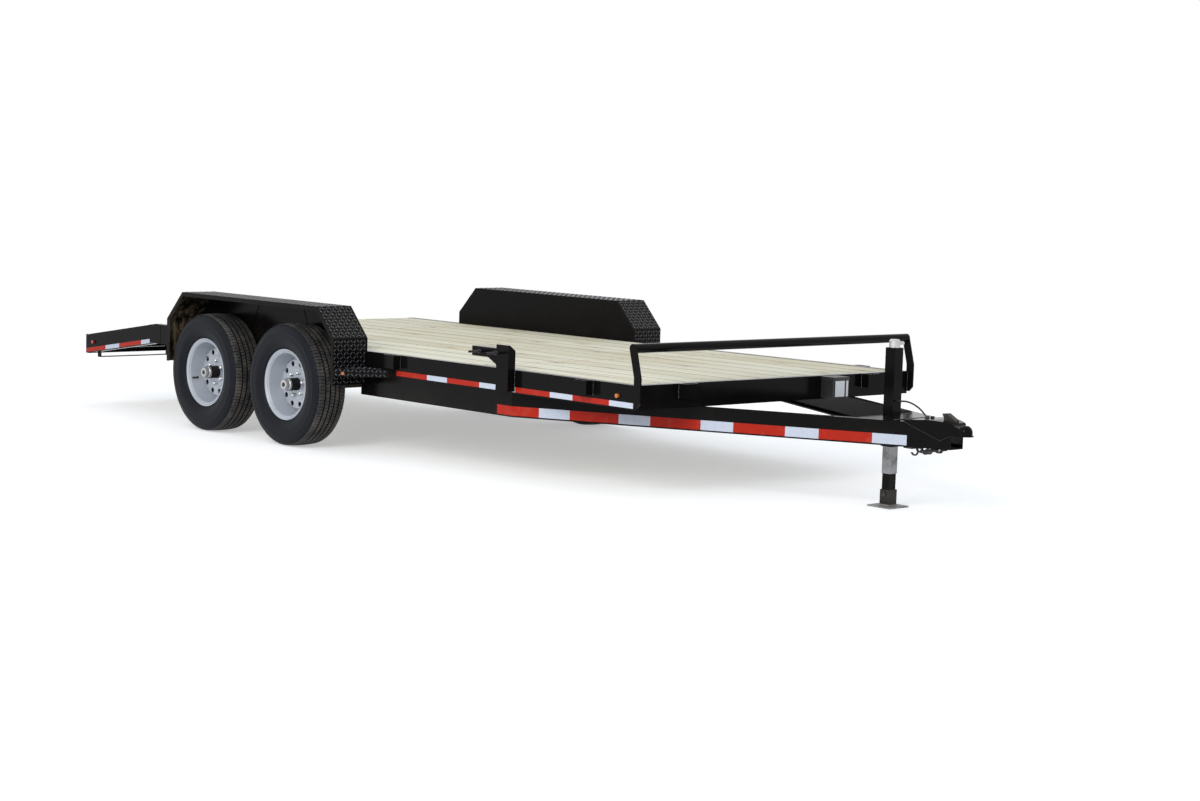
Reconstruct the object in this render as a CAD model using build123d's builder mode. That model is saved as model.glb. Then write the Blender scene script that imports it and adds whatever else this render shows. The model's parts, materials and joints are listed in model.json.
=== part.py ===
"""Tandem-axle car hauler trailer with a plank deck, a sloping tail, drive-over fenders and a wrap-around tongue.

Millimetres. +X points forward to the coupler, +Y to the trailer's left, +Z up. The origin is on the ground under
the middle of the trailer's length and width. Heights are above the ground. Places along the trailer are written
from the deck's front edge, positive forward, and moved by deck_front.
"""
import os
from math import atan2, cos, degrees, hypot, radians, sin, tan

from build123d import *

# Deck and frame
flat_length = 4540              # level deck, front edge to the bend
tail_length = 884               # sloping tail, measured along the ground
tail_drop = 133                 # how much lower the deck's rear edge is
deck_height = 594               # top of the side rails
frame_width = 2120              # over the side rails
rail_height = 127
rail_flange = 44.5
rail_web = 5
rail_flange_thickness = 8
patch_front = 57                # plate over the rail's joint, ahead of the bend
patch_rear = 67
patch_margin = 7
patch_thickness = 3
bearer_height = 76
bearer_flange = 35
bearer_wall = 5
bearer_pitch = 610
bearer_first = 330              # from the deck's front edge to the first bearer
tail_bearer_lead = 100          # from the bend to the first bearer of the tail
tail_bearer_drop = 1            # below the planks, for the channel's turned corner
plank_thickness = 38
plank_count = 11
plank_gap = 3
plank_drop = 2                  # planks lie this much below the rail's top
joint_gap = 0.3                 # clearance between pieces that sit in each other
ramp_strap_inner = 430          # straps under the tail that carry the ramps, from the trailer's middle
ramp_strap_outer = 970
ramp_strap_drop = 31
ramp_strap_width = 40
ramp_strap_thickness = 6

# Tongue
tongue_angle = 25
tongue_reach = 1205             # front end of the beams, ahead of the deck's front edge
tongue_end_half = 50.4          # from the trailer's middle to a beam's outer face at its front end
tongue_tail_gap = 109           # from the front spring hangers to the beams' rear ends

# Wheels and axles
rear_axle_lead = 909            # rear axle, ahead of the bend
axle_spacing = 856
tyre_diameter = 724
tyre_width = 222
wheel_offset = 119              # tyre's middle plane, outside the side rail
tread_half = 84
tread_thickness = 18
bulge_rise = 58                 # widest part of the tyre, above the rim's flange
shoulder_drop = 42              # shoulder, below the tread
shoulder_inset = 6
casing_thickness = 12
bead_thickness = 14
rim_diameter = 418              # over the rim's flanges
rim_width = 172                 # over the rim's flanges
rim_lip = 5                     # rim flange's height above its inner cone
rim_lip_depth = 14
bead_radius = 190
flange_thickness = 7.5
disc_thickness = 6
disc_depth = 87                 # disc's flat middle, behind the outer flange
disc_groove = 13                # groove at the disc's edge, behind that middle
disc_edge_radius = 159
vent_ring_height = 6            # raised ring that holds the vents, above the disc's middle
vent_ring_inner = 104
vent_ring_outer = 142
vent_circle = 123
vent_radius = 16.5
vent_count = 10
axle_tube = 76
spindle_radius = 19
spindle_reach = 30              # spindle's end, outside the wheel's middle plane
drum_radius = 140
drum_width = 58
plate_thickness = 6
hub_barrel_radius = 38
hub_cap_radius = 29.5
hub_cap_back = 20               # cap's rear edge, behind the rim's outer flange
hub_cap_front = 10
moving_gap = 6

# Springs
spring_inset = 30               # spring's middle plane, inside the rail's outer face
spring_half = 330
spring_width = 44.5
spring_rise = 14.5              # from the main leaf's middle to its eyes
spring_seat = 6
leaf_thickness = 9
leaf_halves = (150, 240, 330)   # half lengths, lowest leaf first
eye_radius = 14
pin_radius = 7
strap_thickness = 6
hanger_half = 34
hanger_wall = 5
equalizer_drop = 38

# Fenders and steps
fender_width = 235.4            # outside the side rail
fender_front_lead = 519         # front plate, ahead of the front axle
fender_rear_lag = 393           # rear plate, behind the rear axle
fender_front_slope = 166        # length of the sloping parts, along the ground
fender_rear_slope = 172
fender_top = 844
fender_bend = 669
fender_bottom = 404
fender_sheet = 4
fender_lip = 26
brace_width = 40
brace_thickness = 3
brace_lean = 124
brace_bottom = 599
brace_spread = 273              # from the fender's middle to a brace's middle
step_height = 502
step_lip = 46
step_length = 206
step_sheet = 4

# Stake pockets
pocket_width = 92
pocket_depth = 50
pocket_wall = 5
pocket_height = 76
front_side_pocket = 366         # behind the deck's front edge
rear_side_pocket_lead = 272     # ahead of the fender
front_pocket_side = 712         # from the trailer's middle

# Spare wheel mount
mount_front = 940               # behind the deck's front edge
mount_width = 100
mount_depth = 50
mount_top = 727
mount_bottom = 480
mount_chamfer = 40
arm_length = 203
arm_top = 705
arm_height = 52
gusset_length = 70
gusset_height = 35
gusset_thickness = 6
stud_circle = 139.7
stud_radius = 6.35
stud_length = 76
stud_first = 98                 # behind the mount's front face

# Front rail
rail_pipe = 48.3
rail_pipe_top = 804
post_thickness = 9.5
post_width = 48
post_bottom = 480
post_knee = 632
post_lean = 39
post_front = 38
post_chamfer = 25

# Lamps
lamp_depth = 14                 # how far a lamp stands out
marker_radius = 11
step_marker_radius = 9
step_marker_depth = 7
step_marker_lead = 36           # ahead of the fender
step_marker_drop = 27
rail_marker_lag = 132           # behind the deck's front edge
rail_marker_drop = 62
tail_marker_lead = 103          # ahead of the tail's rear edge
tail_marker_drop = 43
fender_marker_rise = 78
tail_lamp_width = 150
tail_lamp_height = 50
tail_lamp_inset = 190

# Jack
jack_set_back = 424             # behind the beams' front ends
jack_tube = 63.5
jack_top = 817
jack_bottom = 312
collar_size = 70
collar_height = 18
head_radius = 28.5
head_height = 42
crank_radius = 9
crank_reach = 46
ram_size = 55
ram_bottom = 172
ram_length = 475
ram_gap = 0.7
leg_size = 49
leg_wall = 4
leg_hidden = 48                 # leg's top end, below the ram's
socket_size = 61
socket_height = 82
foot_size = 150
foot_thickness = 8
foot_pin_radius = 7
foot_pin_height = 66
foot_pin_head = 6
foot_pin_head_radius = 12
jack_plate_rear = 40
jack_plate_front = 130
jack_plate_thickness = 8

# Coupler; outlines are given as distances behind the beams' front ends and above the beams' tops
ball_radius = 29.4
ball_lead = 51                  # ball's middle, ahead of the beams' front ends
ball_height = 430
housing_radius = 36.5
housing_top = 464.5
crown_radius = 14               # flat top of the ball housing
lip_radius = 43
lip_height = 5
nose_bottom = 411
neck_half = 31                  # half width of the cover beside the ball
coupler_wall = 5
cover_crest = [(212, 10), (162, 14), (95, 17), (38, 12), (-6, 6), (-17, -6), (-ball_lead, -22)]
wing_edge = [(212, 2), (47, -80), (-7, -50)]
latch_width = 34
latch_wall = 4
latch_edge = [(72, 10), (77, 31), (87, 46), (59, 49), (45, 41), (4, 18), (4, 0)]
latch_room = [(68, 10), (72, 29), (79, 40), (60, 44), (48, 37), (8, 14), (8, 0)]

# Safety chains
chain_bar_lag = 202
chain_bar_width = 55
chain_bar_thickness = 8
chain_side = 42
chain_wire = 8
link_inner_length = 28
link_inner_width = 11
link_count = 4
link_step = 7.5                 # degrees of the chain's arc from link to link
hook_radius = 25
hook_sides = 10

# Breakaway cable
cable_radius = 4.5

# Battery box
box_right = 324
box_width = 123
box_depth = 99
box_bottom = 475
box_height = 117
box_corner = 8
lid_height = 24
lid_overhang = 3

# Worked out from the sizes above
frame_half = frame_width / 2
overall_half = frame_half + fender_width
tongue_slope = tan(radians(tongue_angle))
coupler_reach = tongue_reach + ball_lead + lip_radius
deck_front = (flat_length + tail_length + lamp_depth - coupler_reach) / 2
bend_x = deck_front - flat_length
tail_x = bend_x - tail_length
slope = tail_drop / tail_length
slope_angle = degrees(atan2(tail_drop, tail_length))
rail_bottom = deck_height - rail_height
tail_top = deck_height - tail_drop
plank_top = deck_height - plank_drop
wheel_radius = tyre_diameter / 2
wheel_plane = frame_half + wheel_offset
rear_axle_x = bend_x + rear_axle_lead
front_axle_x = rear_axle_x + axle_spacing
equalizer_x = (front_axle_x + rear_axle_x) / 2
wheels = [  # name, place along X, side
    ("front_right", front_axle_x, -1),
    ("front_left", front_axle_x, 1),
    ("rear_right", rear_axle_x, -1),
    ("rear_left", rear_axle_x, 1),
]

os.makedirs("parts", exist_ok=True)


def save(part, name):
    part.label = name
    export_step(part, f"parts/{name}.step")


def side_plane(y):
    """A plane seen from the trailer's right, X to the right and Z up, at the distance y to the left."""
    return Plane.XZ.offset(-y)


def moved_in(points, depth):
    """An open outline moved to the right of its direction by depth, with its corners mitred."""
    normals = []
    for (x0, y0), (x1, y1) in zip(points, points[1:]):
        length = hypot(x1 - x0, y1 - y0)
        normals.append(((y1 - y0) / length, (x0 - x1) / length))
    before = [normals[0]] + normals
    after = normals + [normals[-1]]
    moved = []
    for (x, y), (ax, ay), (bx, by) in zip(points, before, after):
        reach = depth / (1 + ax * bx + ay * by)
        moved.append((x + (ax + bx) * reach, y + (ay + by) * reach))
    return moved


def channel_section(height, flange, web, wall):
    """A channel's cross-section in the current sketch: web at x = 0, flanges towards -x, middle at y = 0."""
    Rectangle(flange, height, align=(Align.MAX, Align.CENTER))
    with Locations((-web, 0)):
        Rectangle(flange, height - 2 * wall, align=(Align.MAX, Align.CENTER), mode=Mode.SUBTRACT)


def rail_outline(front, rear, inset):
    """Side view of a rail with its bend, its top and bottom moved in by inset, in the current sketch."""
    drop = (bend_x - rear) * slope
    top = deck_height - inset
    bottom = rail_bottom + inset
    Polygon((front, top), (bend_x, top), (rear, top - drop), (rear, bottom - drop), (bend_x, bottom), (front, bottom),
            align=None)


# Side rails: channels with their web outside, bent down at the tail, with a plate over the joint
rail_front = deck_front - rail_flange
rail_rear = tail_x + rail_flange
with BuildPart() as side_rails:
    with BuildSketch(side_plane(-frame_half)):
        rail_outline(rail_front, rail_rear, 0)
    extrude(amount=-rail_flange)
    with BuildSketch(side_plane(-frame_half + rail_web)):
        rail_outline(rail_front, rail_rear, rail_flange_thickness)
    extrude(amount=-rail_flange, mode=Mode.SUBTRACT)
    with BuildSketch(side_plane(-frame_half)):
        rail_outline(bend_x + patch_front, bend_x - patch_rear, patch_margin)
    extrude(amount=patch_thickness)
    mirror(about=Plane.XZ)
save(side_rails.part, "side_rails")

# Front crossmember: a channel across the whole frame, web forward, with closed ends
with BuildPart() as front_crossmember:
    with BuildSketch(side_plane(-frame_half)):
        with Locations((deck_front, deck_height - rail_height / 2)):
            channel_section(rail_height, rail_flange, rail_web, rail_flange_thickness)
    extrude(amount=-frame_width)
    for start in (-frame_half, frame_half - rail_web):
        with BuildSketch(side_plane(start)):
            with Locations((deck_front, deck_height - rail_height / 2)):
                Rectangle(rail_flange, rail_height, align=(Align.MAX, Align.CENTER))
        extrude(amount=-rail_web)
save(front_crossmember.part, "front_crossmember")

# Tail crossmember: the same channel with its web to the rear, and under it the straps that carry the ramps
tail_middle = tail_top - rail_height / 2 + slope * rail_flange / 2
tail_bottom = tail_middle - rail_height / 2
with BuildPart() as tail_crossmember:
    with BuildSketch(side_plane(-frame_half)):
        with Locations(Location((tail_x, tail_middle), 180)):
            channel_section(rail_height, rail_flange, rail_web, rail_flange_thickness)
    extrude(amount=-frame_width)
    for start in (-frame_half, frame_half - rail_web):
        with BuildSketch(side_plane(start)):
            with Locations((tail_x, tail_middle)):
                Rectangle(rail_flange, rail_height, align=(Align.MIN, Align.CENTER))
        extrude(amount=-rail_web)
    with BuildSketch(Plane.YZ.offset(tail_x)):
        for side in (-1, 1):
            with Locations((side * (ramp_strap_inner + ramp_strap_outer) / 2, tail_bottom)):
                Rectangle(ramp_strap_outer - ramp_strap_inner, ramp_strap_drop, align=(Align.CENTER, Align.MAX))
                Rectangle(ramp_strap_outer - ramp_strap_inner - 2 * ramp_strap_thickness,
                          ramp_strap_drop - ramp_strap_thickness, align=(Align.CENTER, Align.MAX), mode=Mode.SUBTRACT)
    extrude(amount=ramp_strap_width)
save(tail_crossmember.part, "tail_crossmember")

# Bearers under the level planks and under the tail
bearer_span = frame_width - 2 * rail_web
bearer_top = plank_top - plank_thickness
bearer_count = int((flat_length - bearer_first) / bearer_pitch) + 1
with BuildPart() as floor_bearers:
    for row in range(bearer_count):
        with BuildSketch(side_plane(-bearer_span / 2)):
            with Locations((deck_front - bearer_first - row * bearer_pitch, bearer_top - bearer_height / 2)):
                channel_section(bearer_height, bearer_flange, bearer_wall, bearer_wall)
        extrude(amount=-bearer_span)
save(floor_bearers.part, "floor_bearers")

with BuildPart() as tail_bearers:
    for place in (tail_bearer_lead, tail_length / 2 + tail_bearer_lead / 2):
        middle = bearer_top - place * slope - bearer_height / 2 - tail_bearer_drop
        with BuildSketch(side_plane(-bearer_span / 2)):
            with Locations(Location((bend_x - place, middle), slope_angle)):
                channel_section(bearer_height, bearer_flange, bearer_wall, bearer_wall)
        extrude(amount=-bearer_span)
save(tail_bearers.part, "tail_bearers")

# Planks of the level deck and of the sloping tail
deck_half = frame_half - rail_flange - joint_gap
plank_width = (2 * deck_half - (plank_count - 1) * plank_gap) / plank_count
plank_rights = [-deck_half + row * (plank_width + plank_gap) for row in range(plank_count)]
plank_front = deck_front - rail_flange - joint_gap
plank_rear = tail_x + rail_flange + joint_gap
with BuildPart() as deck_planks:
    for right in plank_rights:
        with BuildSketch(side_plane(right)):
            with Locations(((plank_front + bend_x) / 2, plank_top - plank_thickness / 2)):
                Rectangle(plank_front - bend_x, plank_thickness)
        extrude(amount=-plank_width)
save(deck_planks.part, "deck_planks")

tail_plank_front = bend_x - plank_gap
tail_plank_line = [(x, plank_top - (bend_x - x) * slope) for x in (tail_plank_front, plank_rear)]
with BuildPart() as tail_planks:
    for right in plank_rights:
        with BuildSketch(side_plane(right)):
            Polygon(*tail_plank_line, *[(x, z - plank_thickness) for x, z in reversed(tail_plank_line)], align=None)
        extrude(amount=-plank_width)
save(tail_planks.part, "tail_planks")

# Tongue beams: channels below the side rails, bent inward until they meet under the coupler
hanger_front_x = front_axle_x + spring_half
beam_rear = hanger_front_x + hanger_half + tongue_tail_gap
beam_front = deck_front + tongue_reach
beam_bend = beam_front - (frame_half - tongue_end_half) / tongue_slope
beam_bottom = rail_bottom - rail_height


def beam_half(x):
    """Distance from the trailer's middle to the beams' outer faces, ahead of their bends."""
    return frame_half - (x - beam_bend) * tongue_slope


def beam_outline(inset, width):
    """Plan of the right beam as a strip: its right edge moved in by inset, and its own width."""
    far = inset + width
    across = 1 / cos(radians(tongue_angle))
    corner = tan(radians(tongue_angle / 2))
    outer = -beam_half(beam_front)
    Polygon((beam_rear, -frame_half + inset), (beam_bend - inset * corner, -frame_half + inset),
            (beam_front, outer + inset * across), (beam_front, outer + far * across),
            (beam_bend - far * corner, -frame_half + far), (beam_rear, -frame_half + far), align=None)


with BuildPart() as tongue_beams:
    with BuildSketch(Plane.XY.offset(beam_bottom)):
        beam_outline(0, rail_flange)
    extrude(amount=rail_height)
    with BuildSketch(Plane.XY.offset(beam_bottom + rail_flange_thickness)):
        beam_outline(rail_web, rail_flange)
    extrude(amount=rail_height - 2 * rail_flange_thickness, mode=Mode.SUBTRACT)
    mirror(about=Plane.XZ)
save(tongue_beams.part, "tongue_beams")

# Fenders: bent sheet over both wheels, a plate down to the rail inside and a lip along the outer edge
fender_front_x = front_axle_x + fender_front_lead
fender_rear_x = rear_axle_x - fender_rear_lag
fender_middle_x = (fender_front_x + fender_rear_x) / 2
fender_line = [
    (fender_rear_x, fender_bottom), (fender_rear_x, fender_bend), (fender_rear_x + fender_rear_slope, fender_top),
    (fender_front_x - fender_front_slope, fender_top), (fender_front_x, fender_bend), (fender_front_x, fender_bottom),
]


def fender_band(depth):
    """The fender's bent sheet seen from the side, as a strip of the given depth in the current sketch."""
    Polygon(*fender_line, *reversed(moved_in(fender_line, depth)), align=None)


for side, name in ((-1, "fender_right"), (1, "fender_left")):
    with BuildPart() as fender:
        with BuildSketch(side_plane(-overall_half)):
            fender_band(fender_sheet)
        extrude(amount=-fender_width)
        with BuildSketch(side_plane(-overall_half)):
            fender_band(fender_lip)
        extrude(amount=-fender_sheet)
        with BuildSketch(side_plane(-frame_half)):
            Polygon((fender_rear_x, deck_height), *fender_line[1:-1], (fender_front_x, deck_height), align=None)
        extrude(amount=-fender_sheet)
        with BuildSketch(side_plane(-frame_half)):
            for end in (-1, 1):
                foot = fender_middle_x + end * (brace_spread + brace_lean / 2)
                head = foot - end * brace_lean
                Polygon((foot - brace_width / 2, brace_bottom), (head - brace_width / 2, fender_top - fender_sheet),
                        (head + brace_width / 2, fender_top - fender_sheet), (foot + brace_width / 2, brace_bottom),
                        align=None)
        extrude(amount=brace_thickness)
        if side > 0:
            mirror(about=Plane.XZ, mode=Mode.REPLACE)
    save(fender.part, name)


# Steps: a three-cornered tread with a turned-down edge in front of each fender
def step_outline(inset):
    """Plan of the right step, its slanting edge moved in by inset."""
    diagonal = hypot(step_length, fender_width)
    front = fender_front_x + step_length - inset * diagonal / fender_width
    outer = -overall_half + inset * diagonal / step_length
    Polygon((fender_front_x, -frame_half), (front, -frame_half), (fender_front_x, outer), align=None)


with BuildPart() as side_steps:
    with BuildSketch(Plane.XY.offset(step_height - step_lip)):
        step_outline(0)
    extrude(amount=step_lip)
    with BuildSketch(Plane.XY.offset(step_height - step_lip)):
        step_outline(step_sheet)
    extrude(amount=step_lip - step_sheet, mode=Mode.SUBTRACT)
    mirror(about=Plane.XZ)
save(side_steps.part, "side_steps")

# Stake pockets: rectangular tubes welded upright to the rails and to the front crossmember
pockets = []  # middle along X, middle along Y, size along X, size along Y
for place in (fender_front_x + rear_side_pocket_lead, deck_front - front_side_pocket):
    for side in (-1, 1):
        pockets.append((place, side * (frame_half + pocket_depth / 2), pocket_width, pocket_depth))
for side in (-1, 1):
    pockets.append((deck_front + pocket_depth / 2, side * front_pocket_side, pocket_depth, pocket_width))
with BuildPart() as stake_pockets:
    with BuildSketch(Plane.XY.offset(deck_height - pocket_height)):
        for x, y, length, width in pockets:
            with Locations((x, y)):
                Rectangle(length, width)
                Rectangle(length - 2 * pocket_wall, width - 2 * pocket_wall, mode=Mode.SUBTRACT)
    extrude(amount=pocket_height)
save(stake_pockets.part, "stake_pockets")

# Spare wheel mount on the right rail: an upright post with an arm to the rear, a gusset and two studs
mount_outer = -frame_half - mount_depth
mount_front_x = deck_front - mount_front
mount_rear_x = mount_front_x - mount_width
stud_height = arm_top - arm_height / 2
stud_x = mount_front_x - stud_first
with BuildPart() as spare_mount:
    with BuildSketch(Plane.YZ.offset(mount_rear_x)):
        Polygon((mount_outer, mount_bottom), (mount_outer, mount_top), (-frame_half - mount_chamfer, mount_top),
                (-frame_half, mount_top - mount_chamfer * 3 / 4), (-frame_half, mount_bottom), align=None)
    extrude(amount=mount_width)
    with BuildSketch(side_plane(mount_outer)):
        with Locations((mount_rear_x, arm_top)):
            Rectangle(arm_length, arm_height, align=(Align.MAX, Align.MAX))
    extrude(amount=-mount_depth)
    with BuildSketch(side_plane(mount_outer)):
        Polygon((mount_rear_x, arm_top - arm_height), (mount_rear_x, arm_top - arm_height - gusset_height),
                (mount_rear_x - gusset_length, arm_top - arm_height), align=None)
    extrude(amount=-gusset_thickness)
    with BuildSketch(side_plane(mount_outer)):
        with Locations((stud_x, stud_height), (stud_x - stud_circle, stud_height)):
            Circle(stud_radius)
    extrude(amount=stud_length)
save(spare_mount.part, "spare_mount")

# Front rail: a round pipe between two flat posts that lean to the rear
post_x = deck_front + post_front
pipe_x = post_x - post_lean - post_width / 2
pipe_z = rail_pipe_top - rail_pipe / 2
with BuildPart() as front_rail:
    for side in (-1, 1):
        with BuildSketch(side_plane(side * (frame_half + post_thickness / 2) - post_thickness / 2)):
            Polygon((post_x - post_width, post_bottom), (post_x - post_chamfer, post_bottom),
                    (post_x, post_bottom + post_chamfer), (post_x, post_knee), (pipe_x + post_width / 2, pipe_z),
                    (pipe_x - post_width / 2, pipe_z), (post_x - post_width, post_knee), align=None)
            with Locations((pipe_x, pipe_z)):
                Circle(post_width / 2)
        extrude(amount=-post_thickness)
    with BuildSketch(side_plane(-frame_half - post_thickness / 2)):
        with Locations((pipe_x, pipe_z)):
            Circle(rail_pipe / 2)
    extrude(amount=-frame_width - post_thickness)
save(front_rail.part, "front_rail")

# Axles: a round tube with a spindle at each end
drum_inner = wheel_plane + rim_width / 2 - disc_depth - disc_thickness - joint_gap - drum_width
plate_inner = drum_inner - moving_gap - plate_thickness
spindle_half = wheel_plane + spindle_reach
with BuildPart() as axles:
    for name, place, side in wheels:
        if side > 0:
            continue
        with BuildSketch(side_plane(-plate_inner)):
            with Locations((place, wheel_radius)):
                Circle(axle_tube / 2)
        extrude(amount=-2 * plate_inner)
        with BuildSketch(side_plane(-spindle_half)):
            with Locations((place, wheel_radius)):
                Circle(spindle_radius)
        extrude(amount=-2 * spindle_half)
save(axles.part, "axles")

# Brake plates: a disc that closes each drum
with BuildPart() as brake_plates:
    for name, place, side in wheels:
        with BuildSketch(side_plane(side * (plate_inner + plate_thickness / 2) - plate_thickness / 2)):
            with Locations((place, wheel_radius)):
                Circle(drum_radius)
                Circle(spindle_radius, mode=Mode.SUBTRACT)
        extrude(amount=-plate_thickness)
save(brake_plates.part, "brake_plates")

# Springs: three curved leaves on a seat over each end of an axle, the longest with an eye at each end
spring_plane = frame_half - spring_inset
pack_bottom = wheel_radius + axle_tube / 2 + spring_seat
arch_radius = spring_half ** 2 / (2 * spring_rise)
arch_centre = pack_bottom + arch_radius + len(leaf_halves) * leaf_thickness
eye_height = pack_bottom + (len(leaf_halves) - 0.5) * leaf_thickness + spring_rise
with BuildPart() as leaf_springs:
    for name, place, side in wheels:
        spring_side = side_plane(side * spring_plane - spring_width / 2)
        for row, half in enumerate(leaf_halves):
            with BuildSketch(spring_side):
                with Locations((place, arch_centre)):
                    Circle(arch_centre - pack_bottom - row * leaf_thickness)
                    Circle(arch_centre - pack_bottom - (row + 1) * leaf_thickness, mode=Mode.SUBTRACT)
                with Locations((place, pack_bottom)):
                    Rectangle(2 * half, arch_radius, mode=Mode.INTERSECT)
            extrude(amount=-spring_width)
        with BuildSketch(spring_side):
            with Locations((place - spring_half, eye_height), (place + spring_half, eye_height)):
                Circle(eye_radius)
            with Locations((place, pack_bottom + leaf_thickness)):
                Rectangle(axle_tube, axle_tube / 2 + spring_seat + leaf_thickness, align=(Align.CENTER, Align.MAX))
            with Locations((place, wheel_radius)):
                Circle(axle_tube / 2, mode=Mode.SUBTRACT)
        extrude(amount=-spring_width)
        with BuildSketch(spring_side):
            with Locations((place - spring_half, eye_height), (place + spring_half, eye_height)):
                Circle(pin_radius + joint_gap)
        extrude(amount=-spring_width, mode=Mode.SUBTRACT)
save(leaf_springs.part, "leaf_springs")

# Spring hangers: two plates and a pin under the rail; the middle ones carry the equalizers
eye_gap = axle_spacing / 2 - spring_half
hangers = [  # place along X, height of the pin, room between the plates
    (hanger_front_x, eye_height, spring_width),
    (equalizer_x, eye_height, spring_width + 2 * joint_gap),
    (rear_axle_x - spring_half, eye_height, spring_width),
]
with BuildPart() as spring_hangers:
    for place, height, room in hangers:
        inside = room + 2 * joint_gap
        for side in (-1, 1):
            below = (Align.CENTER, Align.CENTER, Align.MAX)
            with Locations((place, side * spring_plane, rail_bottom)):
                Box(2 * hanger_half, inside + 2 * hanger_wall, rail_bottom - height + eye_radius, align=below)
            with Locations((place, side * spring_plane, rail_bottom - hanger_wall)):
                Box(2 * hanger_half, inside, rail_height, align=below, mode=Mode.SUBTRACT)
            with BuildSketch(side_plane(side * spring_plane - inside / 2 - hanger_wall)):
                with Locations((place, height)):
                    Circle(pin_radius)
            extrude(amount=-inside - 2 * hanger_wall)
save(spring_hangers.part, "spring_hangers")

# Equalizers: a rocker on the middle pin, with straps beside the springs' inner eyes and a pin through each eye
rocker_half = eye_gap - eye_radius - joint_gap
rocker_width = spring_width + 2 * joint_gap
strap_rear = hanger_half + joint_gap
strap_length = eye_gap + eye_radius - strap_rear
with BuildPart() as equalizers:
    for side in (-1, 1):
        with BuildSketch(side_plane(side * spring_plane - rocker_width / 2)):
            rocker = [(-rocker_half, eye_radius), (-rocker_half, -eye_radius), (0, -equalizer_drop),
                      (rocker_half, -eye_radius), (rocker_half, eye_radius)]
            Polygon(*[(equalizer_x + x, eye_height + z) for x, z in rocker], align=None)
            with Locations((equalizer_x, eye_height)):
                Circle(pin_radius + joint_gap, mode=Mode.SUBTRACT)
        extrude(amount=-rocker_width)
        for end in (-1, 1):
            for start in (-rocker_width / 2 - strap_thickness, rocker_width / 2):
                with BuildSketch(side_plane(side * spring_plane + start)):
                    with Locations((equalizer_x + end * (strap_rear + strap_length / 2), eye_height)):
                        Rectangle(strap_length, 2 * eye_radius)
                extrude(amount=-strap_thickness)
            with BuildSketch(side_plane(side * spring_plane - rocker_width / 2 - strap_thickness)):
                with Locations((equalizer_x + end * eye_gap, eye_height)):
                    Circle(pin_radius)
            extrude(amount=-rocker_width - 2 * strap_thickness)
save(equalizers.part, "equalizers")


# Wheels: tyre, rim, and hub with its brake drum, each turned about the axle
def wheel_frame(place, side):
    """Sketch plane through the wheel's axis: x runs outward from the wheel's middle plane, y is the radius."""
    return Plane(origin=(place, side * wheel_plane, wheel_radius), x_dir=(0, side, 0), z_dir=(side, 0, 0))


def both_ways(points):
    """A profile's right half, from its foot to its middle, completed with its mirror image."""
    return [*points, *[(-x, y) for x, y in reversed(points)]]


rim_half = rim_width / 2
rim_radius = rim_diameter / 2
tyre_half = tyre_width / 2
seat_half = rim_half - flange_thickness - joint_gap
disc_face = rim_half - disc_depth
ring_face = disc_face + vent_ring_height
disc_back = disc_face - disc_thickness
hub_face = disc_back - joint_gap
spindle_room = spindle_reach + moving_gap
bulge_radius = rim_radius + bulge_rise
tyre_outline = [
    (seat_half, bead_radius + joint_gap), (seat_half, rim_radius + joint_gap), (tyre_half, bulge_radius),
    (tyre_half - shoulder_inset, wheel_radius - shoulder_drop), (tread_half, wheel_radius),
]
tyre_cavity = [
    (seat_half - bead_thickness, bead_radius), (tyre_half - casing_thickness, bulge_radius),
    (tread_half, wheel_radius - tread_thickness),
]
rim_outline = [
    (-rim_half, rim_radius), (-rim_half + flange_thickness, rim_radius), (-rim_half + flange_thickness, bead_radius),
    (rim_half - flange_thickness, bead_radius), (rim_half - flange_thickness, rim_radius), (rim_half, rim_radius),
    (rim_half, rim_radius - rim_lip), (rim_half - rim_lip_depth, bead_radius - rim_lip),
    (disc_face - disc_groove, disc_edge_radius), (ring_face, vent_ring_outer), (ring_face, vent_ring_inner),
    (disc_face, vent_ring_inner - 2 * vent_ring_height), (disc_face, hub_barrel_radius + joint_gap),
    (disc_back, hub_barrel_radius + joint_gap), (disc_back, vent_ring_inner - 2 * vent_ring_height),
    (ring_face - disc_thickness, vent_ring_inner), (ring_face - disc_thickness, vent_ring_outer),
    (disc_back - disc_groove, disc_edge_radius - disc_thickness),
    (-rim_half + 2 * rim_lip_depth, bead_radius - rim_lip), (-rim_half, rim_radius - rim_lip),
]
hub_outline = [
    (hub_face - drum_width, spindle_radius + joint_gap), (hub_face - drum_width, drum_radius),
    (hub_face, drum_radius), (hub_face, hub_barrel_radius), (rim_half - hub_cap_back, hub_barrel_radius),
    (rim_half - hub_cap_back, hub_cap_radius), (rim_half + hub_cap_front, hub_cap_radius),
    (rim_half + hub_cap_front, 0), (spindle_room, 0), (spindle_room, spindle_radius + joint_gap),
]
for name, place, side in wheels:
    plane = wheel_frame(place, side)
    axis = Axis(plane.origin, (0, 1, 0))
    with BuildPart() as tyre:
        with BuildSketch(plane):
            Polygon(*both_ways(tyre_outline), align=None)
            Polygon(*both_ways(tyre_cavity), align=None, mode=Mode.SUBTRACT)
        revolve(axis=axis)
    save(tyre.part, f"tyre_{name}")

    with BuildPart() as rim:
        with BuildSketch(plane):
            Polygon(*rim_outline, align=None)
        revolve(axis=axis)
        with BuildSketch(Plane(origin=plane.origin, x_dir=(1, 0, 0), z_dir=(0, side, 0))):
            with PolarLocations(vent_circle, vent_count):
                Circle(vent_radius)
        extrude(amount=disc_groove, both=True, mode=Mode.SUBTRACT)
    save(rim.part, f"rim_{name}")

    with BuildPart() as hub:
        with BuildSketch(plane):
            Polygon(*hub_outline, align=None)
        revolve(axis=axis)
    save(hub.part, f"hub_{name}")

# Jack: a square housing in a plate between the beams, with a head, a ram, a drop leg and a pinned foot
jack_x = beam_front - jack_set_back


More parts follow.
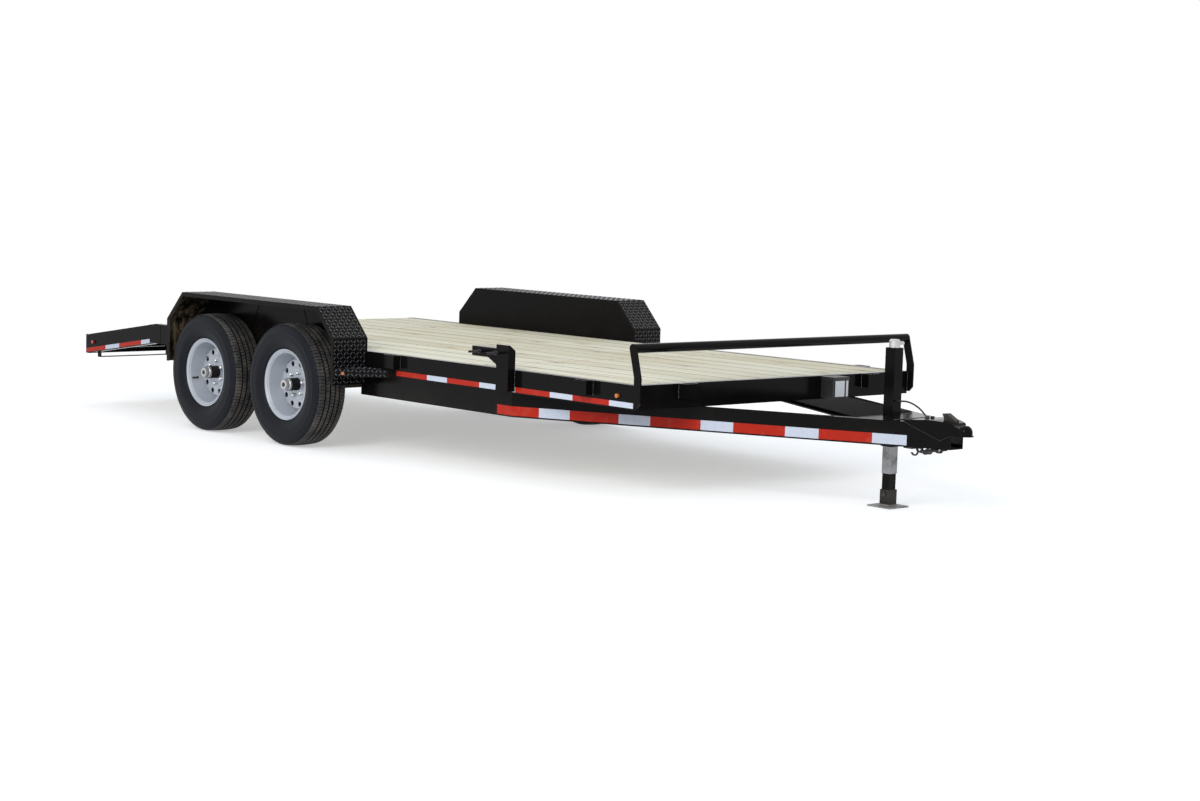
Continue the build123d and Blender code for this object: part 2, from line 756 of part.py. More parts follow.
def square_tube(size, inside):
    """A square tube's section around the jack's middle, in the current sketch."""
    with Locations((jack_x, 0)):
        Rectangle(size, size)
        Rectangle(inside, inside, mode=Mode.SUBTRACT)


with BuildPart() as jack_plate:
    flange_across = rail_flange / cos(radians(tongue_angle)) + joint_gap
    rear_half = beam_half(jack_x - jack_plate_rear) - flange_across
    front_half = beam_half(jack_x + jack_plate_front) - flange_across
    with BuildSketch(Plane.XY.offset(rail_bottom - jack_plate_thickness)):
        Polygon((jack_x - jack_plate_rear, -rear_half), (jack_x + jack_plate_front, -front_half),
                (jack_x + jack_plate_front, front_half), (jack_x - jack_plate_rear, rear_half), align=None)
        with Locations((jack_x, 0)):
            Rectangle(jack_tube + 2 * joint_gap, jack_tube + 2 * joint_gap, mode=Mode.SUBTRACT)
    extrude(amount=jack_plate_thickness)
save(jack_plate.part, "jack_plate")

ram_room = ram_size + 2 * ram_gap
with BuildPart() as jack_housing:
    with BuildSketch(Plane.XY.offset(jack_bottom)):
        square_tube(jack_tube, ram_room)
    extrude(amount=jack_top - jack_bottom)
    with BuildSketch(Plane.XY.offset(jack_bottom)):
        square_tube(collar_size, ram_room)
    extrude(amount=collar_height)
save(jack_housing.part, "jack_housing")

with BuildPart() as jack_head:
    with BuildSketch(Plane.XY.offset(jack_top)):
        with Locations((jack_x, 0)):
            Circle(head_radius)
    extrude(amount=head_height)
    chamfer(jack_head.edges().group_by(Axis.Z)[-1], length=head_radius / 4)
    with BuildSketch(Plane.XZ.offset(-head_radius + crank_radius)):
        with Locations((jack_x, jack_top + head_height / 2)):
            Circle(crank_radius)
    extrude(amount=-crank_reach)
save(jack_head.part, "jack_head")

leg_room = leg_size + 2 * joint_gap
with BuildPart() as jack_ram:
    with BuildSketch(Plane.XY.offset(ram_bottom)):
        square_tube(ram_size, leg_room)
    extrude(amount=ram_length)
save(jack_ram.part, "jack_ram")

with BuildPart() as jack_drop_leg:
    with BuildSketch(Plane.XY.offset(foot_thickness)):
        square_tube(leg_size, leg_size - 2 * leg_wall)
    extrude(amount=ram_bottom + ram_length - leg_hidden - foot_thickness)
    with BuildSketch(side_plane(-leg_size)):
        with Locations((jack_x, foot_pin_height)):
            Circle(foot_pin_radius + joint_gap)
    extrude(amount=-2 * leg_size, mode=Mode.SUBTRACT)
save(jack_drop_leg.part, "jack_drop_leg")

with BuildPart() as jack_foot:
    with BuildSketch():
        with Locations((jack_x, 0)):
            Rectangle(foot_size, foot_size)
    extrude(amount=foot_thickness)
    with BuildSketch(Plane.XY.offset(foot_thickness)):
        square_tube(socket_size, leg_room)
    extrude(amount=socket_height)
    with BuildSketch(side_plane(-leg_size)):
        with Locations((jack_x, foot_pin_height)):
            Circle(foot_pin_radius + joint_gap)
    extrude(amount=-2 * leg_size, mode=Mode.SUBTRACT)
save(jack_foot.part, "jack_foot")

with BuildPart() as jack_pin:
    pin_half = socket_size / 2 + joint_gap
    with BuildSketch(side_plane(-pin_half)):
        with Locations((jack_x, foot_pin_height)):
            Circle(foot_pin_radius)
    extrude(amount=-2 * pin_half)
    for start in (-pin_half - foot_pin_head, pin_half):
        with BuildSketch(side_plane(start)):
            with Locations((jack_x, foot_pin_height)):
                RegularPolygon(foot_pin_head_radius, 6)
        extrude(amount=-foot_pin_head)
save(jack_pin.part, "jack_pin")

# Coupler: a pressed cover over the beams' front ends, with tapering wings, a hollow neck and a turned ball housing
ball_x = beam_front + ball_lead
cover_rear_x = beam_front - cover_crest[0][0]


def at_beams(points, rise=0):
    """Points given behind the beams' front ends and above their tops, as X and Z."""
    return [(beam_front - lag, rail_bottom + height + rise) for lag, height in points]


def cover_plan(rear, outset, neck):
    """Plan of the cover, outset from the beams' outer faces, narrowing ahead of them to the given neck."""
    across = outset / cos(radians(tongue_angle))
    right = [(rear, -beam_half(rear) - across), (beam_front, -beam_half(beam_front) - across), (ball_x, -neck)]
    Polygon(*right, *[(x, -y) for x, y in reversed(right)], align=None)


cover_low = rail_bottom + wing_edge[1][1]
crest = at_beams(cover_crest)
with BuildPart() as coupler:
    with BuildSketch(Plane.XY.offset(cover_low)):
        cover_plan(cover_rear_x, coupler_wall + joint_gap, neck_half)
    extrude(amount=rail_height)
    with BuildSketch(side_plane(-frame_half)):
        Polygon(*at_beams(wing_edge), (beam_front + ball_lead / 4, nose_bottom), (ball_x, nose_bottom),
                *reversed(crest), align=None)
    extrude(amount=-frame_width, mode=Mode.INTERSECT)
    with BuildSketch(Plane.XY.offset(cover_low)):
        across = joint_gap / cos(radians(tongue_angle))
        beams = [(cover_rear_x, -beam_half(cover_rear_x) - across),
                 (beam_front + joint_gap, -beam_half(beam_front) - across)]
        Polygon(*beams, *[(x, -y) for x, y in reversed(beams)], align=None)
    extrude(amount=rail_bottom + joint_gap - cover_low, mode=Mode.SUBTRACT)
    with BuildSketch(Plane.XY.offset(cover_low)):
        cover_plan(beam_front - coupler_wall, joint_gap, neck_half - coupler_wall)
    extrude(amount=crest[-1][1] - coupler_wall - cover_low, mode=Mode.SUBTRACT)
    with BuildSketch(side_plane(0)):
        with BuildLine():
            Polyline((ball_x + crown_radius, housing_top), (ball_x, housing_top), (ball_x, nose_bottom),
                     (ball_x + lip_radius, nose_bottom), (ball_x + lip_radius, nose_bottom + lip_height),
                     (ball_x + housing_radius, nose_bottom + lip_height), (ball_x + housing_radius, ball_height))
            TangentArc((ball_x + housing_radius, ball_height), (ball_x + crown_radius, housing_top), tangent=(0, 1))
        make_face()
    revolve(axis=Axis((ball_x, 0, 0), (0, 0, 1)))
    with BuildSketch(Plane.XY.offset(nose_bottom)):
        with Locations((ball_x, 0)):
            Circle(ball_radius)
    extrude(amount=ball_height - nose_bottom, mode=Mode.SUBTRACT)
    with Locations((ball_x, 0, ball_height)):
        Sphere(ball_radius, mode=Mode.SUBTRACT)
save(coupler.part, "coupler")

# Latch: a folded lever on the cover, open below
with BuildPart() as coupler_latch:
    with BuildSketch(side_plane(-latch_width / 2)):
        Polygon(*at_beams(latch_edge), align=None)
    extrude(amount=-latch_width)
    with BuildSketch(side_plane(-latch_width / 2 + latch_wall)):
        Polygon(*at_beams(latch_room), align=None)
    extrude(amount=-latch_width + 2 * latch_wall, mode=Mode.SUBTRACT)
    with BuildSketch(side_plane(-latch_width)):
        under = at_beams(cover_crest, joint_gap)
        Polygon((under[0][0], nose_bottom), *under, (under[-1][0], nose_bottom), align=None)
    extrude(amount=-2 * latch_width, mode=Mode.SUBTRACT)
save(coupler_latch.part, "coupler_latch")

# Safety chains: a bar under the beams, and on each side a hook and an arc of links welded to the bar
def link_ring(length, width):
    """An oblong outline about the origin with its corners cut off."""
    x, y, cut = length / 2, width / 2, width * 0.3
    corners = [(x, y - cut), (x - cut, y)]
    half = [*corners, *[(-a, b) for a, b in reversed(corners)]]
    return [*half, *[(-a, -b) for a, b in half]]


chain_bar_x = beam_front - chain_bar_lag
chain_bar_top = beam_bottom - joint_gap
bar_bottom = chain_bar_top - chain_bar_thickness
link_outer_width = link_inner_width + 2 * chain_wire
link_outer_length = link_inner_length + 2 * chain_wire
link_pitch = link_inner_length - 2 * joint_gap
chain_radius = link_pitch / radians(link_step)
chain_start = -link_step * (link_count - 1) / 2
with BuildPart() as safety_chains:
    with BuildSketch(Plane.XY.offset(bar_bottom)):
        bar_half = beam_half(chain_bar_x + chain_bar_width / 2)
        with Locations((chain_bar_x, 0)):
            Rectangle(chain_bar_width, 2 * bar_half)
    extrude(amount=chain_bar_thickness)
    for side in (-1, 1):
        hook_z = bar_bottom - hook_radius + chain_wire / 2
        with BuildSketch(side_plane(side * chain_side - chain_wire / 2)):
            with Locations((chain_bar_x - chain_bar_width / 2, hook_z)):
                RegularPolygon(hook_radius, hook_sides)
                RegularPolygon(hook_radius - chain_wire, hook_sides, mode=Mode.SUBTRACT)
            with Locations((chain_bar_x - chain_bar_width / 2 - hook_radius, hook_z)):
                Rectangle(hook_radius, chain_wire * 2, mode=Mode.SUBTRACT)
        extrude(amount=-chain_wire)
        start_x = chain_bar_x + chain_bar_width / 2 - link_outer_length / 2
        start_z = bar_bottom - link_outer_width / 2 + chain_wire / 4
        for row in range(link_count):
            turn = chain_start + row * link_step
            x = start_x + chain_radius * (sin(radians(turn)) - sin(radians(chain_start)))
            z = start_z - chain_radius * (cos(radians(turn)) - cos(radians(chain_start)))
            along = (cos(radians(turn)), 0, sin(radians(turn)))
            upright = row % 2 == 0
            facing = (0, -1, 0) if upright else (-sin(radians(turn)), 0, cos(radians(turn)))
            with BuildSketch(Plane(origin=(x, side * chain_side, z), x_dir=along, z_dir=facing)):
                Polygon(*link_ring(link_outer_length, link_outer_width), align=None)
                Polygon(*link_ring(link_inner_length, link_inner_width), align=None, mode=Mode.SUBTRACT)
            extrude(amount=chain_wire / 2, both=True)
save(safety_chains.part, "safety_chains")

# Breakaway cable: from the jack's front face down to the coupler's cover
jack_face = jack_x + jack_tube / 2
cable_route = [
    (jack_face + joint_gap, -12, 548), (deck_front + 838, -12, 548), (deck_front + 872, -4, 551),
    (deck_front + 908, 1, 544), (deck_front + 940, 3, 531), (deck_front + 968, 4, 515), (deck_front + 1002, 3, 487),
]
cable_radii = []
for before, point, after in zip(cable_route, cable_route[1:], cable_route[2:]):
    first = Vector(*point) - Vector(*before)
    second = Vector(*after) - Vector(*point)
    turn = radians(first.get_angle(second))
    cable_radii.append(0.45 * min(first.length, second.length) / tan(turn / 2))
print("cable radii", [round(radius) for radius in cable_radii])
with BuildPart() as breakaway_cable:
    with BuildLine() as cable_path:
        FilletPolyline(*cable_route, radius=cable_radii)
    with BuildSketch(Plane(origin=cable_path.line @ 0, z_dir=cable_path.line % 0)):
        Circle(cable_radius)
    sweep(path=cable_path.line)
save(breakaway_cable.part, "breakaway_cable")

# Battery box on the front crossmember, with its lid
with BuildPart() as battery_box:
    with BuildSketch(Plane.XY.offset(box_bottom)):
        with Locations((deck_front + box_depth / 2, box_right + box_width / 2)):
            RectangleRounded(box_depth, box_width, box_corner)
    extrude(amount=box_height)
    with BuildSketch(Plane.XY.offset(box_bottom + box_height - lid_height)):
        with Locations((deck_front + (box_depth + lid_overhang) / 2, box_right + box_width / 2)):
            RectangleRounded(box_depth + lid_overhang, box_width + 2 * lid_overhang, box_corner)
    extrude(amount=lid_height)
save(battery_box.part, "battery_box")

# Lamps: amber markers at the front and on the steps, red ones at the tail and on the fenders, two tail lamps
with BuildPart() as amber_lamps:
    for side in (-1, 1):
        with BuildSketch(side_plane(side * (frame_half + lamp_depth / 2) - lamp_depth / 2)):
            with Locations((deck_front - rail_marker_lag, deck_height - rail_marker_drop)):
                Circle(marker_radius)
        extrude(amount=-lamp_depth)
        lamp_y = side * (overall_half - step_marker_lead * fender_width / step_length)
        face = Plane(origin=(fender_front_x + step_marker_lead, lamp_y, step_height - step_marker_drop),
                     x_dir=(step_length, -side * fender_width, 0), z_dir=(fender_width, side * step_length, 0))
        with BuildSketch(face):
            Circle(step_marker_radius)
        extrude(amount=step_marker_depth)
save(amber_lamps.part, "amber_lamps")

with BuildPart() as tail_lamps:
    for side in (-1, 1):
        with BuildSketch(Plane.YZ.offset(tail_x)):
            with Locations((side * (frame_half - tail_lamp_inset), tail_middle)):
                SlotOverall(tail_lamp_width, tail_lamp_height)
        extrude(amount=-lamp_depth)
        with BuildSketch(Plane.YZ.offset(fender_rear_x)):
            with Locations((side * (overall_half - fender_lip), fender_bottom + fender_marker_rise)):
                Circle(marker_radius)
        extrude(amount=-lamp_depth)
        with BuildSketch(side_plane(side * (frame_half + lamp_depth / 2) - lamp_depth / 2)):
            with Locations((tail_x + tail_marker_lead, tail_top - tail_marker_drop)):
                Circle(marker_radius)
        extrude(amount=-lamp_depth)
save(tail_lamps.part, "tail_lamps")
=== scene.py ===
"""Looks of the car hauler trailer: finishes, tread plate, tyres, wheel hardware, welds, fasteners and tape.

Metres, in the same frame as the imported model: +X forward, +Y to the trailer's left, +Z up, the ground at 0.
"""
import json
from math import cos, hypot, pi, radians, sin, tan

import bmesh
import bpy
from mathutils import Matrix, Vector


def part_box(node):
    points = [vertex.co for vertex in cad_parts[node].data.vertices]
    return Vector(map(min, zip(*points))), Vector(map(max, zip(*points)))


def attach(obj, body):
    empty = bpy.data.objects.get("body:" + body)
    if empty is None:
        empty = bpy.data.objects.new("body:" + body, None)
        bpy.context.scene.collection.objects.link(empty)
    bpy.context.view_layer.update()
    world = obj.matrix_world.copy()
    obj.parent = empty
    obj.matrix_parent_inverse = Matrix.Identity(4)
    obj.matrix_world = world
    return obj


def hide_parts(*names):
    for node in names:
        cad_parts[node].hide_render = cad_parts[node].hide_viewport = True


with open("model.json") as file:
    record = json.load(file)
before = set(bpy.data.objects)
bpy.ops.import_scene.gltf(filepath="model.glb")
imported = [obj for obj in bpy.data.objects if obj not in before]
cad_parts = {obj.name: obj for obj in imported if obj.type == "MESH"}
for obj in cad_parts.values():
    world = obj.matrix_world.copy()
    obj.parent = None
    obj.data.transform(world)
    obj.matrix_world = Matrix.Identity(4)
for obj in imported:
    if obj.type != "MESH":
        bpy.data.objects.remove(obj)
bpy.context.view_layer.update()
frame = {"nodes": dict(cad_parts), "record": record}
nodes = frame["nodes"]
mm = 0.001
inch = 25.4 * mm


# Sizes read from the frame
def low(node):
    """The low corner of a node's box."""
    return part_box(node)[0]


def high(node):
    """The high corner of a node's box."""
    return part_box(node)[1]


deck_front = high("front_crossmember").x
deck_top = high("front_crossmember").z
frame_half = high("front_crossmember").y
bend_x = low("deck_planks").x
tail_end = low("tail_crossmember").x
beam_low = low("tongue_beams").z
beam_front = high("tongue_beams").x
plank_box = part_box("deck_planks")
plank_thickness = plank_box[1].z - plank_box[0].z
tail_slope = (high("tail_planks").z - low("tail_planks").z - plank_thickness) / (
    high("tail_planks").x - low("tail_planks").x)
# The tongue's legs run straight along the rails and bend inward ahead of this place
tongue_angle = radians(25)
beam_bend = deck_front - 0.960
fender_low, fender_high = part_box("fender_right")
fender_width = fender_high.y - fender_low.y


# Camera: the photograph's, found by fitting the trailer's sizes to the picture
camera_place = Vector((10.2245, -8.8525, 1.6338))
camera_yaw = radians(47.22)
camera_pitch = radians(-5.67)
camera_roll = radians(1.78)
camera_lens = 67.56
film_width = 36
sight_end = 200
camera = bpy.data.objects.new("camera", bpy.data.cameras.new("camera"))
camera.data.sensor_width = film_width
camera.data.lens = camera_lens
camera.data.clip_end = sight_end
camera.matrix_world = (Matrix.Translation(camera_place) @ Matrix.Rotation(camera_yaw, 4, "Z")
                       @ Matrix.Rotation(radians(90) + camera_pitch, 4, "X")
                       @ Matrix.Rotation(camera_roll, 4, "Z"))
bpy.context.scene.collection.objects.link(camera)
bpy.context.scene.camera = camera
bpy.context.scene.view_settings.view_transform = "Standard"


# Shader values with arithmetic
class Shade:
    """A shader socket that Python's arithmetic turns into Math nodes."""

    def __init__(self, finish, socket):
        self.finish = finish
        self.socket = socket

    def math(self, operation, other=None, clamp=False, swapped=False):
        values = (other, self) if swapped else (self, other)
        inputs = {at: value for at, value in enumerate(values) if value is not None}
        return self.finish.node("ShaderNodeMath", {"operation": operation, "use_clamp": clamp}, inputs)

    def __add__(self, other):
        return self.math("ADD", other)

    def __sub__(self, other):
        return self.math("SUBTRACT", other)

    def __rsub__(self, other):
        return self.math("SUBTRACT", other, swapped=True)

    def __mul__(self, other):
        return self.math("MULTIPLY", other)

    def __truediv__(self, other):
        return self.math("DIVIDE", other)

    __radd__ = __add__
    __rmul__ = __mul__

    def clamped(self):
        """The value held between 0 and 1."""
        return self.math("ADD", 0.0, clamp=True)

    def between(self, start, stop):
        """0 below start, 1 above stop, smooth between them."""
        return self.finish.node("ShaderNodeMapRange", {"interpolation_type": "SMOOTHSTEP"},
                                {"Value": self, "From Min": start, "From Max": stop})


class Finish:
    """A procedural material on one Principled shader."""

    def __init__(self, name, roughness=0.5, metallic=0.0, **fixed):
        self.material = bpy.data.materials.new(name)
        self.material.use_nodes = True
        self.tree = self.material.node_tree
        self.shader = self.tree.nodes["Principled BSDF"]
        self.set("Roughness", roughness)
        self.set("Metallic", metallic)
        for socket, value in fixed.items():
            self.set(socket.replace("_", " "), value)

    def put(self, socket, value):
        """Links a shade to a socket, or gives the socket a plain value."""
        if isinstance(value, Shade):
            self.tree.links.new(value.socket, socket)
        elif socket.type == "RGBA" and not isinstance(value, (int, float)):
            socket.default_value = (*value[:3], 1.0)
        else:
            socket.default_value = value

    def set(self, name, value):
        """A value for one of the Principled shader's own sockets."""
        self.put(self.shader.inputs[name], value)

    def node(self, kind, settings=None, inputs=None, output=0):
        """Adds a node: its settings first, then its sockets' values or links; gives one output."""
        node = self.tree.nodes.new(kind)
        for key, value in (settings or {}).items():
            setattr(node, key, value)
        for key, value in (inputs or {}).items():
            self.put(node.inputs[key], value)
        return Shade(self, node.outputs[output])

    def place(self, scale=(1, 1, 1)):
        """Object coordinates in metres, scaled along each axis."""
        point = self.node("ShaderNodeTexCoord", output="Object")
        if scale != (1, 1, 1):
            point = self.node("ShaderNodeVectorMath", {"operation": "MULTIPLY"}, {0: point, 1: scale})
        return point

    def axes(self):
        """Object coordinates as three separate values."""
        point = self.node("ShaderNodeTexCoord", output="Object")
        split = self.node("ShaderNodeSeparateXYZ", inputs={0: point})
        outputs = split.socket.node.outputs
        return [Shade(self, outputs[at]) for at in range(3)]

    def joined(self, x, y, z):
        """A point from three values."""
        return self.node("ShaderNodeCombineXYZ", inputs={0: x, 1: y, 2: z})

    def noise(self, scale, detail=3, roughness=0.55, at=None):
        """Soft noise, about 0.5 in the middle, with its scale per metre."""
        return self.node("ShaderNodeTexNoise", inputs={"Vector": at or self.place(), "Scale": scale,
                                                       "Detail": detail, "Roughness": roughness})

    def mix(self, factor, first, second):
        """The first colour where the factor is 0 and the second where it is 1."""
        return self.node("ShaderNodeMix", {"data_type": "RGBA"}, {0: factor, 6: first, 7: second}, output=2)

    def bump(self, height, distance, strength):
        """A normal from a height, for a relief of the given depth in metres."""
        return self.node("ShaderNodeBump", inputs={"Height": height, "Distance": distance,
                                                   "Strength": strength})

    def facing(self, axis):
        """1 on faces that look along an axis, 0 on those square to it and -1 on those that look back."""
        normal = self.node("ShaderNodeNewGeometry", output="Normal")
        return Shade(self, self.node("ShaderNodeSeparateXYZ", inputs={0: normal}).socket.node.outputs[axis])

    def up_facing(self):
        """1 on level tops and -1 on level undersides."""
        return self.facing(2)


# Finishes, with their colours as linear red, green and blue
lens_ribs = 900


def black_paint(name, colour=(0.0040, 0.0035, 0.0034), roughness=0.13, dust=0.3, dirt_height=0.5,
                mud_from=None, shine=0.07):
    """Gloss black enamel with a thin film of dust and road dirt below dirt_height.

    mud_from is the rear end of a fender, on whose inner side mud has dried behind the wheel.
    """
    paint = Finish(name, Specular_IOR_Level=shine)
    x, y, z = paint.axes()
    film = paint.noise(2.3, 6, 0.62).between(0.42, 0.72)
    speck = paint.noise(90, 2, 0.5).between(0.58, 0.68)
    settled = paint.up_facing().between(0.5, 0.98)
    low_down = 1 - z.between(0.10, dirt_height)
    dirt = ((film * 0.5 + speck * 0.25) * (settled * 0.22 + low_down * 0.4 + 0.05) * dust * 2).clamped()
    base = paint.mix(dirt, colour, (0.17, 0.145, 0.115))
    if mud_from is not None:
        inward = paint.facing(0).between(0.45, 0.75)
        near_rear = 1 - (x - mud_from).between(0.02, 0.21)
        splash = paint.noise(1.0, 6, 0.68, paint.place((26, 26, 7))).between(0.40, 0.62)
        mud = (inward * near_rear * splash).clamped() * 0.9
        base = paint.mix(mud, base, (0.17, 0.125, 0.075))
        dirt = (dirt + mud).clamped()
    paint.set("Base Color", base)
    paint.set("Roughness", (dirt * 0.6 + film * 0.05 + roughness).clamped())
    paint.set("Normal", paint.bump(paint.noise(34, 2, 0.5), 0.0009, 0.3))
    return paint.material


def pine_planks(name, pitch, start, chalk_x):
    """Pale pine boards along X: each has its own tint, grain, rings and knots. A chalk line runs across."""
    wood = Finish(name, 0.72, Specular_IOR_Level=0.25)
    x, y, z = wood.axes()
    board = ((y - start) / pitch).math("FLOOR")
    chance = wood.node("ShaderNodeTexWhiteNoise", {"noise_dimensions": "1D"}, {"W": board + 0.37})
    other_chance = wood.node("ShaderNodeTexWhiteNoise", {"noise_dimensions": "1D"}, {"W": board + 9.71})
    slide = chance * 37.0
    drift = wood.noise(0.7, 2, 0.5, wood.joined(x + slide, y * 2.0, z)) * 0.12
    along_grain = wood.joined(x * 0.42 + slide, (y + drift) * 58.0, z * 30 + other_chance * 9)
    streak = wood.noise(1.0, 5, 0.6, along_grain)
    fine = wood.noise(1.0, 4, 0.7, wood.joined(x * 5 + slide, (y + drift * 0.5) * 300.0, z * 90))
    rings = ((y + drift) * 210.0 + streak * 8.0).math("SINE") * 0.5 + 0.5
    pale = wood.mix(chance, (0.68, 0.64, 0.46), (0.85, 0.83, 0.66))
    warm = wood.mix(streak.between(0.48, 0.66) * 0.9, pale, (0.50, 0.40, 0.25))
    ringed = wood.mix(rings.between(0.6, 0.97) * 0.38, warm, (0.38, 0.29, 0.17))
    fibred = wood.mix(fine.between(0.45, 0.72) * 0.16, ringed, (0.34, 0.28, 0.19))
    worn = wood.mix(wood.noise(1.3, 4, 0.6).between(0.38, 0.72) * 0.6, fibred, (0.74, 0.72, 0.59))
    knot_at = wood.joined(x * 1.15 + slide * 3, (y - start) * 3.1 + other_chance * 5, 0.0)
    knot = wood.node("ShaderNodeTexVoronoi", {"voronoi_dimensions": "2D", "feature": "F1"},
                     {"Vector": knot_at, "Scale": 1.0})
    halo = wood.mix((1 - knot.between(0.04, 0.16)) * 0.35, worn, (0.42, 0.29, 0.15))
    knotted = wood.mix((1 - knot.between(0.016, 0.042)) * 0.85, halo, (0.12, 0.075, 0.045))
    grime = wood.noise(1.0, 5, 0.7, wood.joined(x * 1.4, y * 6.0, z)).between(0.52, 0.8) * 0.20
    from_middle = (((y - start) / pitch).math("FRACT") - 0.5).math("ABSOLUTE") * pitch
    edge = from_middle.between(pitch / 2 - 0.010, pitch / 2 - 0.002) * 0.85
    soiled = wood.mix(edge, wood.mix(grime, knotted, (0.30, 0.265, 0.20)), (0.10, 0.082, 0.058))
    off_line = (x - chalk_x + (wood.noise(6, 2, 0.5) - 0.5) * 0.02).math("ABSOLUTE")
    chalk = (1 - off_line.between(0.004, 0.016)) * wood.noise(11, 4, 0.7).between(0.36, 0.6) * 0.55
    wood.set("Base Color", wood.mix(chalk, soiled, (0.62, 0.22, 0.20)))
    wood.set("Roughness", (streak * 0.18 + 0.62).clamped())
    wood.set("Normal", wood.bump(rings * 0.5 + fine * 0.8, 0.0012, 0.5))
    return wood.material


def tyre_rubber(name, base_tone, dust_and_shade_tone, dusting, low_dust):
    """Road-worn rubber: a base tone, a second tone of dust, kept dark as painted shade in the grooves, and
    how much of the second lies on the first.
    """
    rubber = Finish(name, 0.62, Specular_IOR_Level=0.14)
    patch = rubber.noise(9, 6, 0.62).between(0.38, 0.68)
    speck = rubber.noise(150, 3, 0.6).between(0.45, 0.7)
    x, y, z = rubber.axes()
    low_down = 1 - z.between(0.02, 0.40)
    dust = ((patch * 0.6 + speck * 0.4) * dusting + low_down * low_dust).clamped()
    rubber.set("Base Color", rubber.mix(dust, base_tone, dust_and_shade_tone))
    rubber.set("Roughness", (dust * 0.3 + 0.50).clamped())
    rubber.set("Normal", rubber.bump(rubber.noise(300, 3, 0.6), 0.0006, 0.4))
    return rubber.material


def silver_paint(name):
    """Silver wheel paint with brake dust and road film."""
    silver = Finish(name, 0.38, 0.35, Specular_IOR_Level=0.4)
    film = silver.noise(7, 5, 0.6).between(0.42, 0.78)
    speck = silver.noise(220, 2, 0.6).between(0.6, 0.72)
    dirt = (film * 0.22 + speck * 0.10).clamped()
    silver.set("Base Color", silver.mix(dirt, (0.44, 0.47, 0.52), (0.30, 0.28, 0.26)))
    silver.set("Roughness", (dirt * 0.4 + 0.34).clamped())
    silver.set("Normal", silver.bump(silver.noise(420, 2, 0.5), 0.0002, 0.2))
    return silver.material


def plated_steel(name, colour, roughness, grime=0.3):
    """Zinc plating or galvanising, with its mottled bloom and some grime."""
    steel = Finish(name, roughness, 0.85)
    bloom = steel.node("ShaderNodeTexVoronoi", {"feature": "F1"}, {"Vector": steel.place(), "Scale": 95})
    film = steel.noise(14, 5, 0.6).between(0.45, 0.75) * grime
    tinted = steel.mix(bloom.between(0.1, 0.7) * 0.35, colour, [c * 0.62 for c in colour])
    steel.set("Base Color", steel.mix(film, tinted, (0.16, 0.13, 0.10)))
    steel.set("Roughness", (bloom * 0.16 + film * 0.3 + roughness).clamped())
    steel.set("Normal", steel.bump(steel.noise(300, 3, 0.6), 0.0004, 0.35))
    return steel.material


def foot_steel(name):
    """The jack's foot: dull plating on the plate, black and caked with dirt on the socket above it."""
    steel = Finish(name, 0.5, 0.5)
    x, y, z = steel.axes()
    caked = steel.noise(24, 5, 0.65).between(0.4, 0.65)
    above = z.between(0.010, 0.018)
    plate = steel.mix(caked * 0.7, (0.30, 0.30, 0.30), (0.15, 0.115, 0.08))
    socket = steel.mix(caked * 0.6, (0.012, 0.012, 0.012), (0.07, 0.058, 0.045))
    steel.set("Base Color", steel.mix(above, plate, socket))
    steel.set("Roughness", (caked * 0.3 + 0.42).clamped())
    steel.set("Normal", steel.bump(steel.noise(110, 4, 0.6), 0.0012, 0.5))
    return steel.material


def moulded_plastic(name, colour, roughness=0.45):
    """Injection-moulded plastic with a fine spark-eroded grain and light dust."""
    plastic = Finish(name, roughness)
    dust = plastic.noise(12, 5, 0.6).between(0.5, 0.8) * 0.25
    plastic.set("Base Color", plastic.mix(dust, colour, (0.23, 0.20, 0.17)))
    plastic.set("Roughness", (dust * 0.6 + roughness).clamped())
    plastic.set("Normal", plastic.bump(plastic.noise(700, 2, 0.5), 0.0003, 0.4))
    return plastic.material


def lens(name, colour):
    """A moulded lamp lens with fine ribs inside it."""
    glass = Finish(name, 0.12, Coat_Weight=0.6, Coat_Roughness=0.05)
    ribs = glass.place((lens_ribs, lens_ribs, lens_ribs))
    wave = glass.node("ShaderNodeTexWave", {"wave_type": "BANDS", "bands_direction": "Z"},
                      {"Vector": ribs, "Scale": 0.2})
    haze = glass.noise(20, 4, 0.6).between(0.5, 0.8) * 0.3
    deep = glass.mix(wave * 0.5, colour, [c * 0.35 for c in colour])
    glass.set("Base Color", glass.mix(haze, deep, (0.35, 0.28, 0.22)))
    glass.set("Roughness", (haze * 0.5 + 0.10).clamped())
    glass.set("Normal", glass.bump(wave, 0.0004, 0.3))
    return glass.material


def tape_film(name, colour):
    """Retroreflective tape: a fine sealed-cell pattern under a glossy film, with a little dust."""
    tape = Finish(name, 0.3, Specular_IOR_Level=0.12)
    cell = tape.node("ShaderNodeTexVoronoi", {"feature": "DISTANCE_TO_EDGE"},
                     {"Vector": tape.place(), "Scale": 240})
    dust = tape.noise(18, 5, 0.65).between(0.5, 0.85) * 0.2
    netted = tape.mix(1 - cell.between(0.02, 0.09), colour, [c * 0.72 for c in colour])
    tape.set("Base Color", tape.mix(dust, netted, (0.35, 0.30, 0.26)))
    tape.set("Roughness", (dust * 0.5 + 0.28).clamped())
    tape.set("Normal", tape.bump(cell, 0.0002, 0.3))
    return tape.material


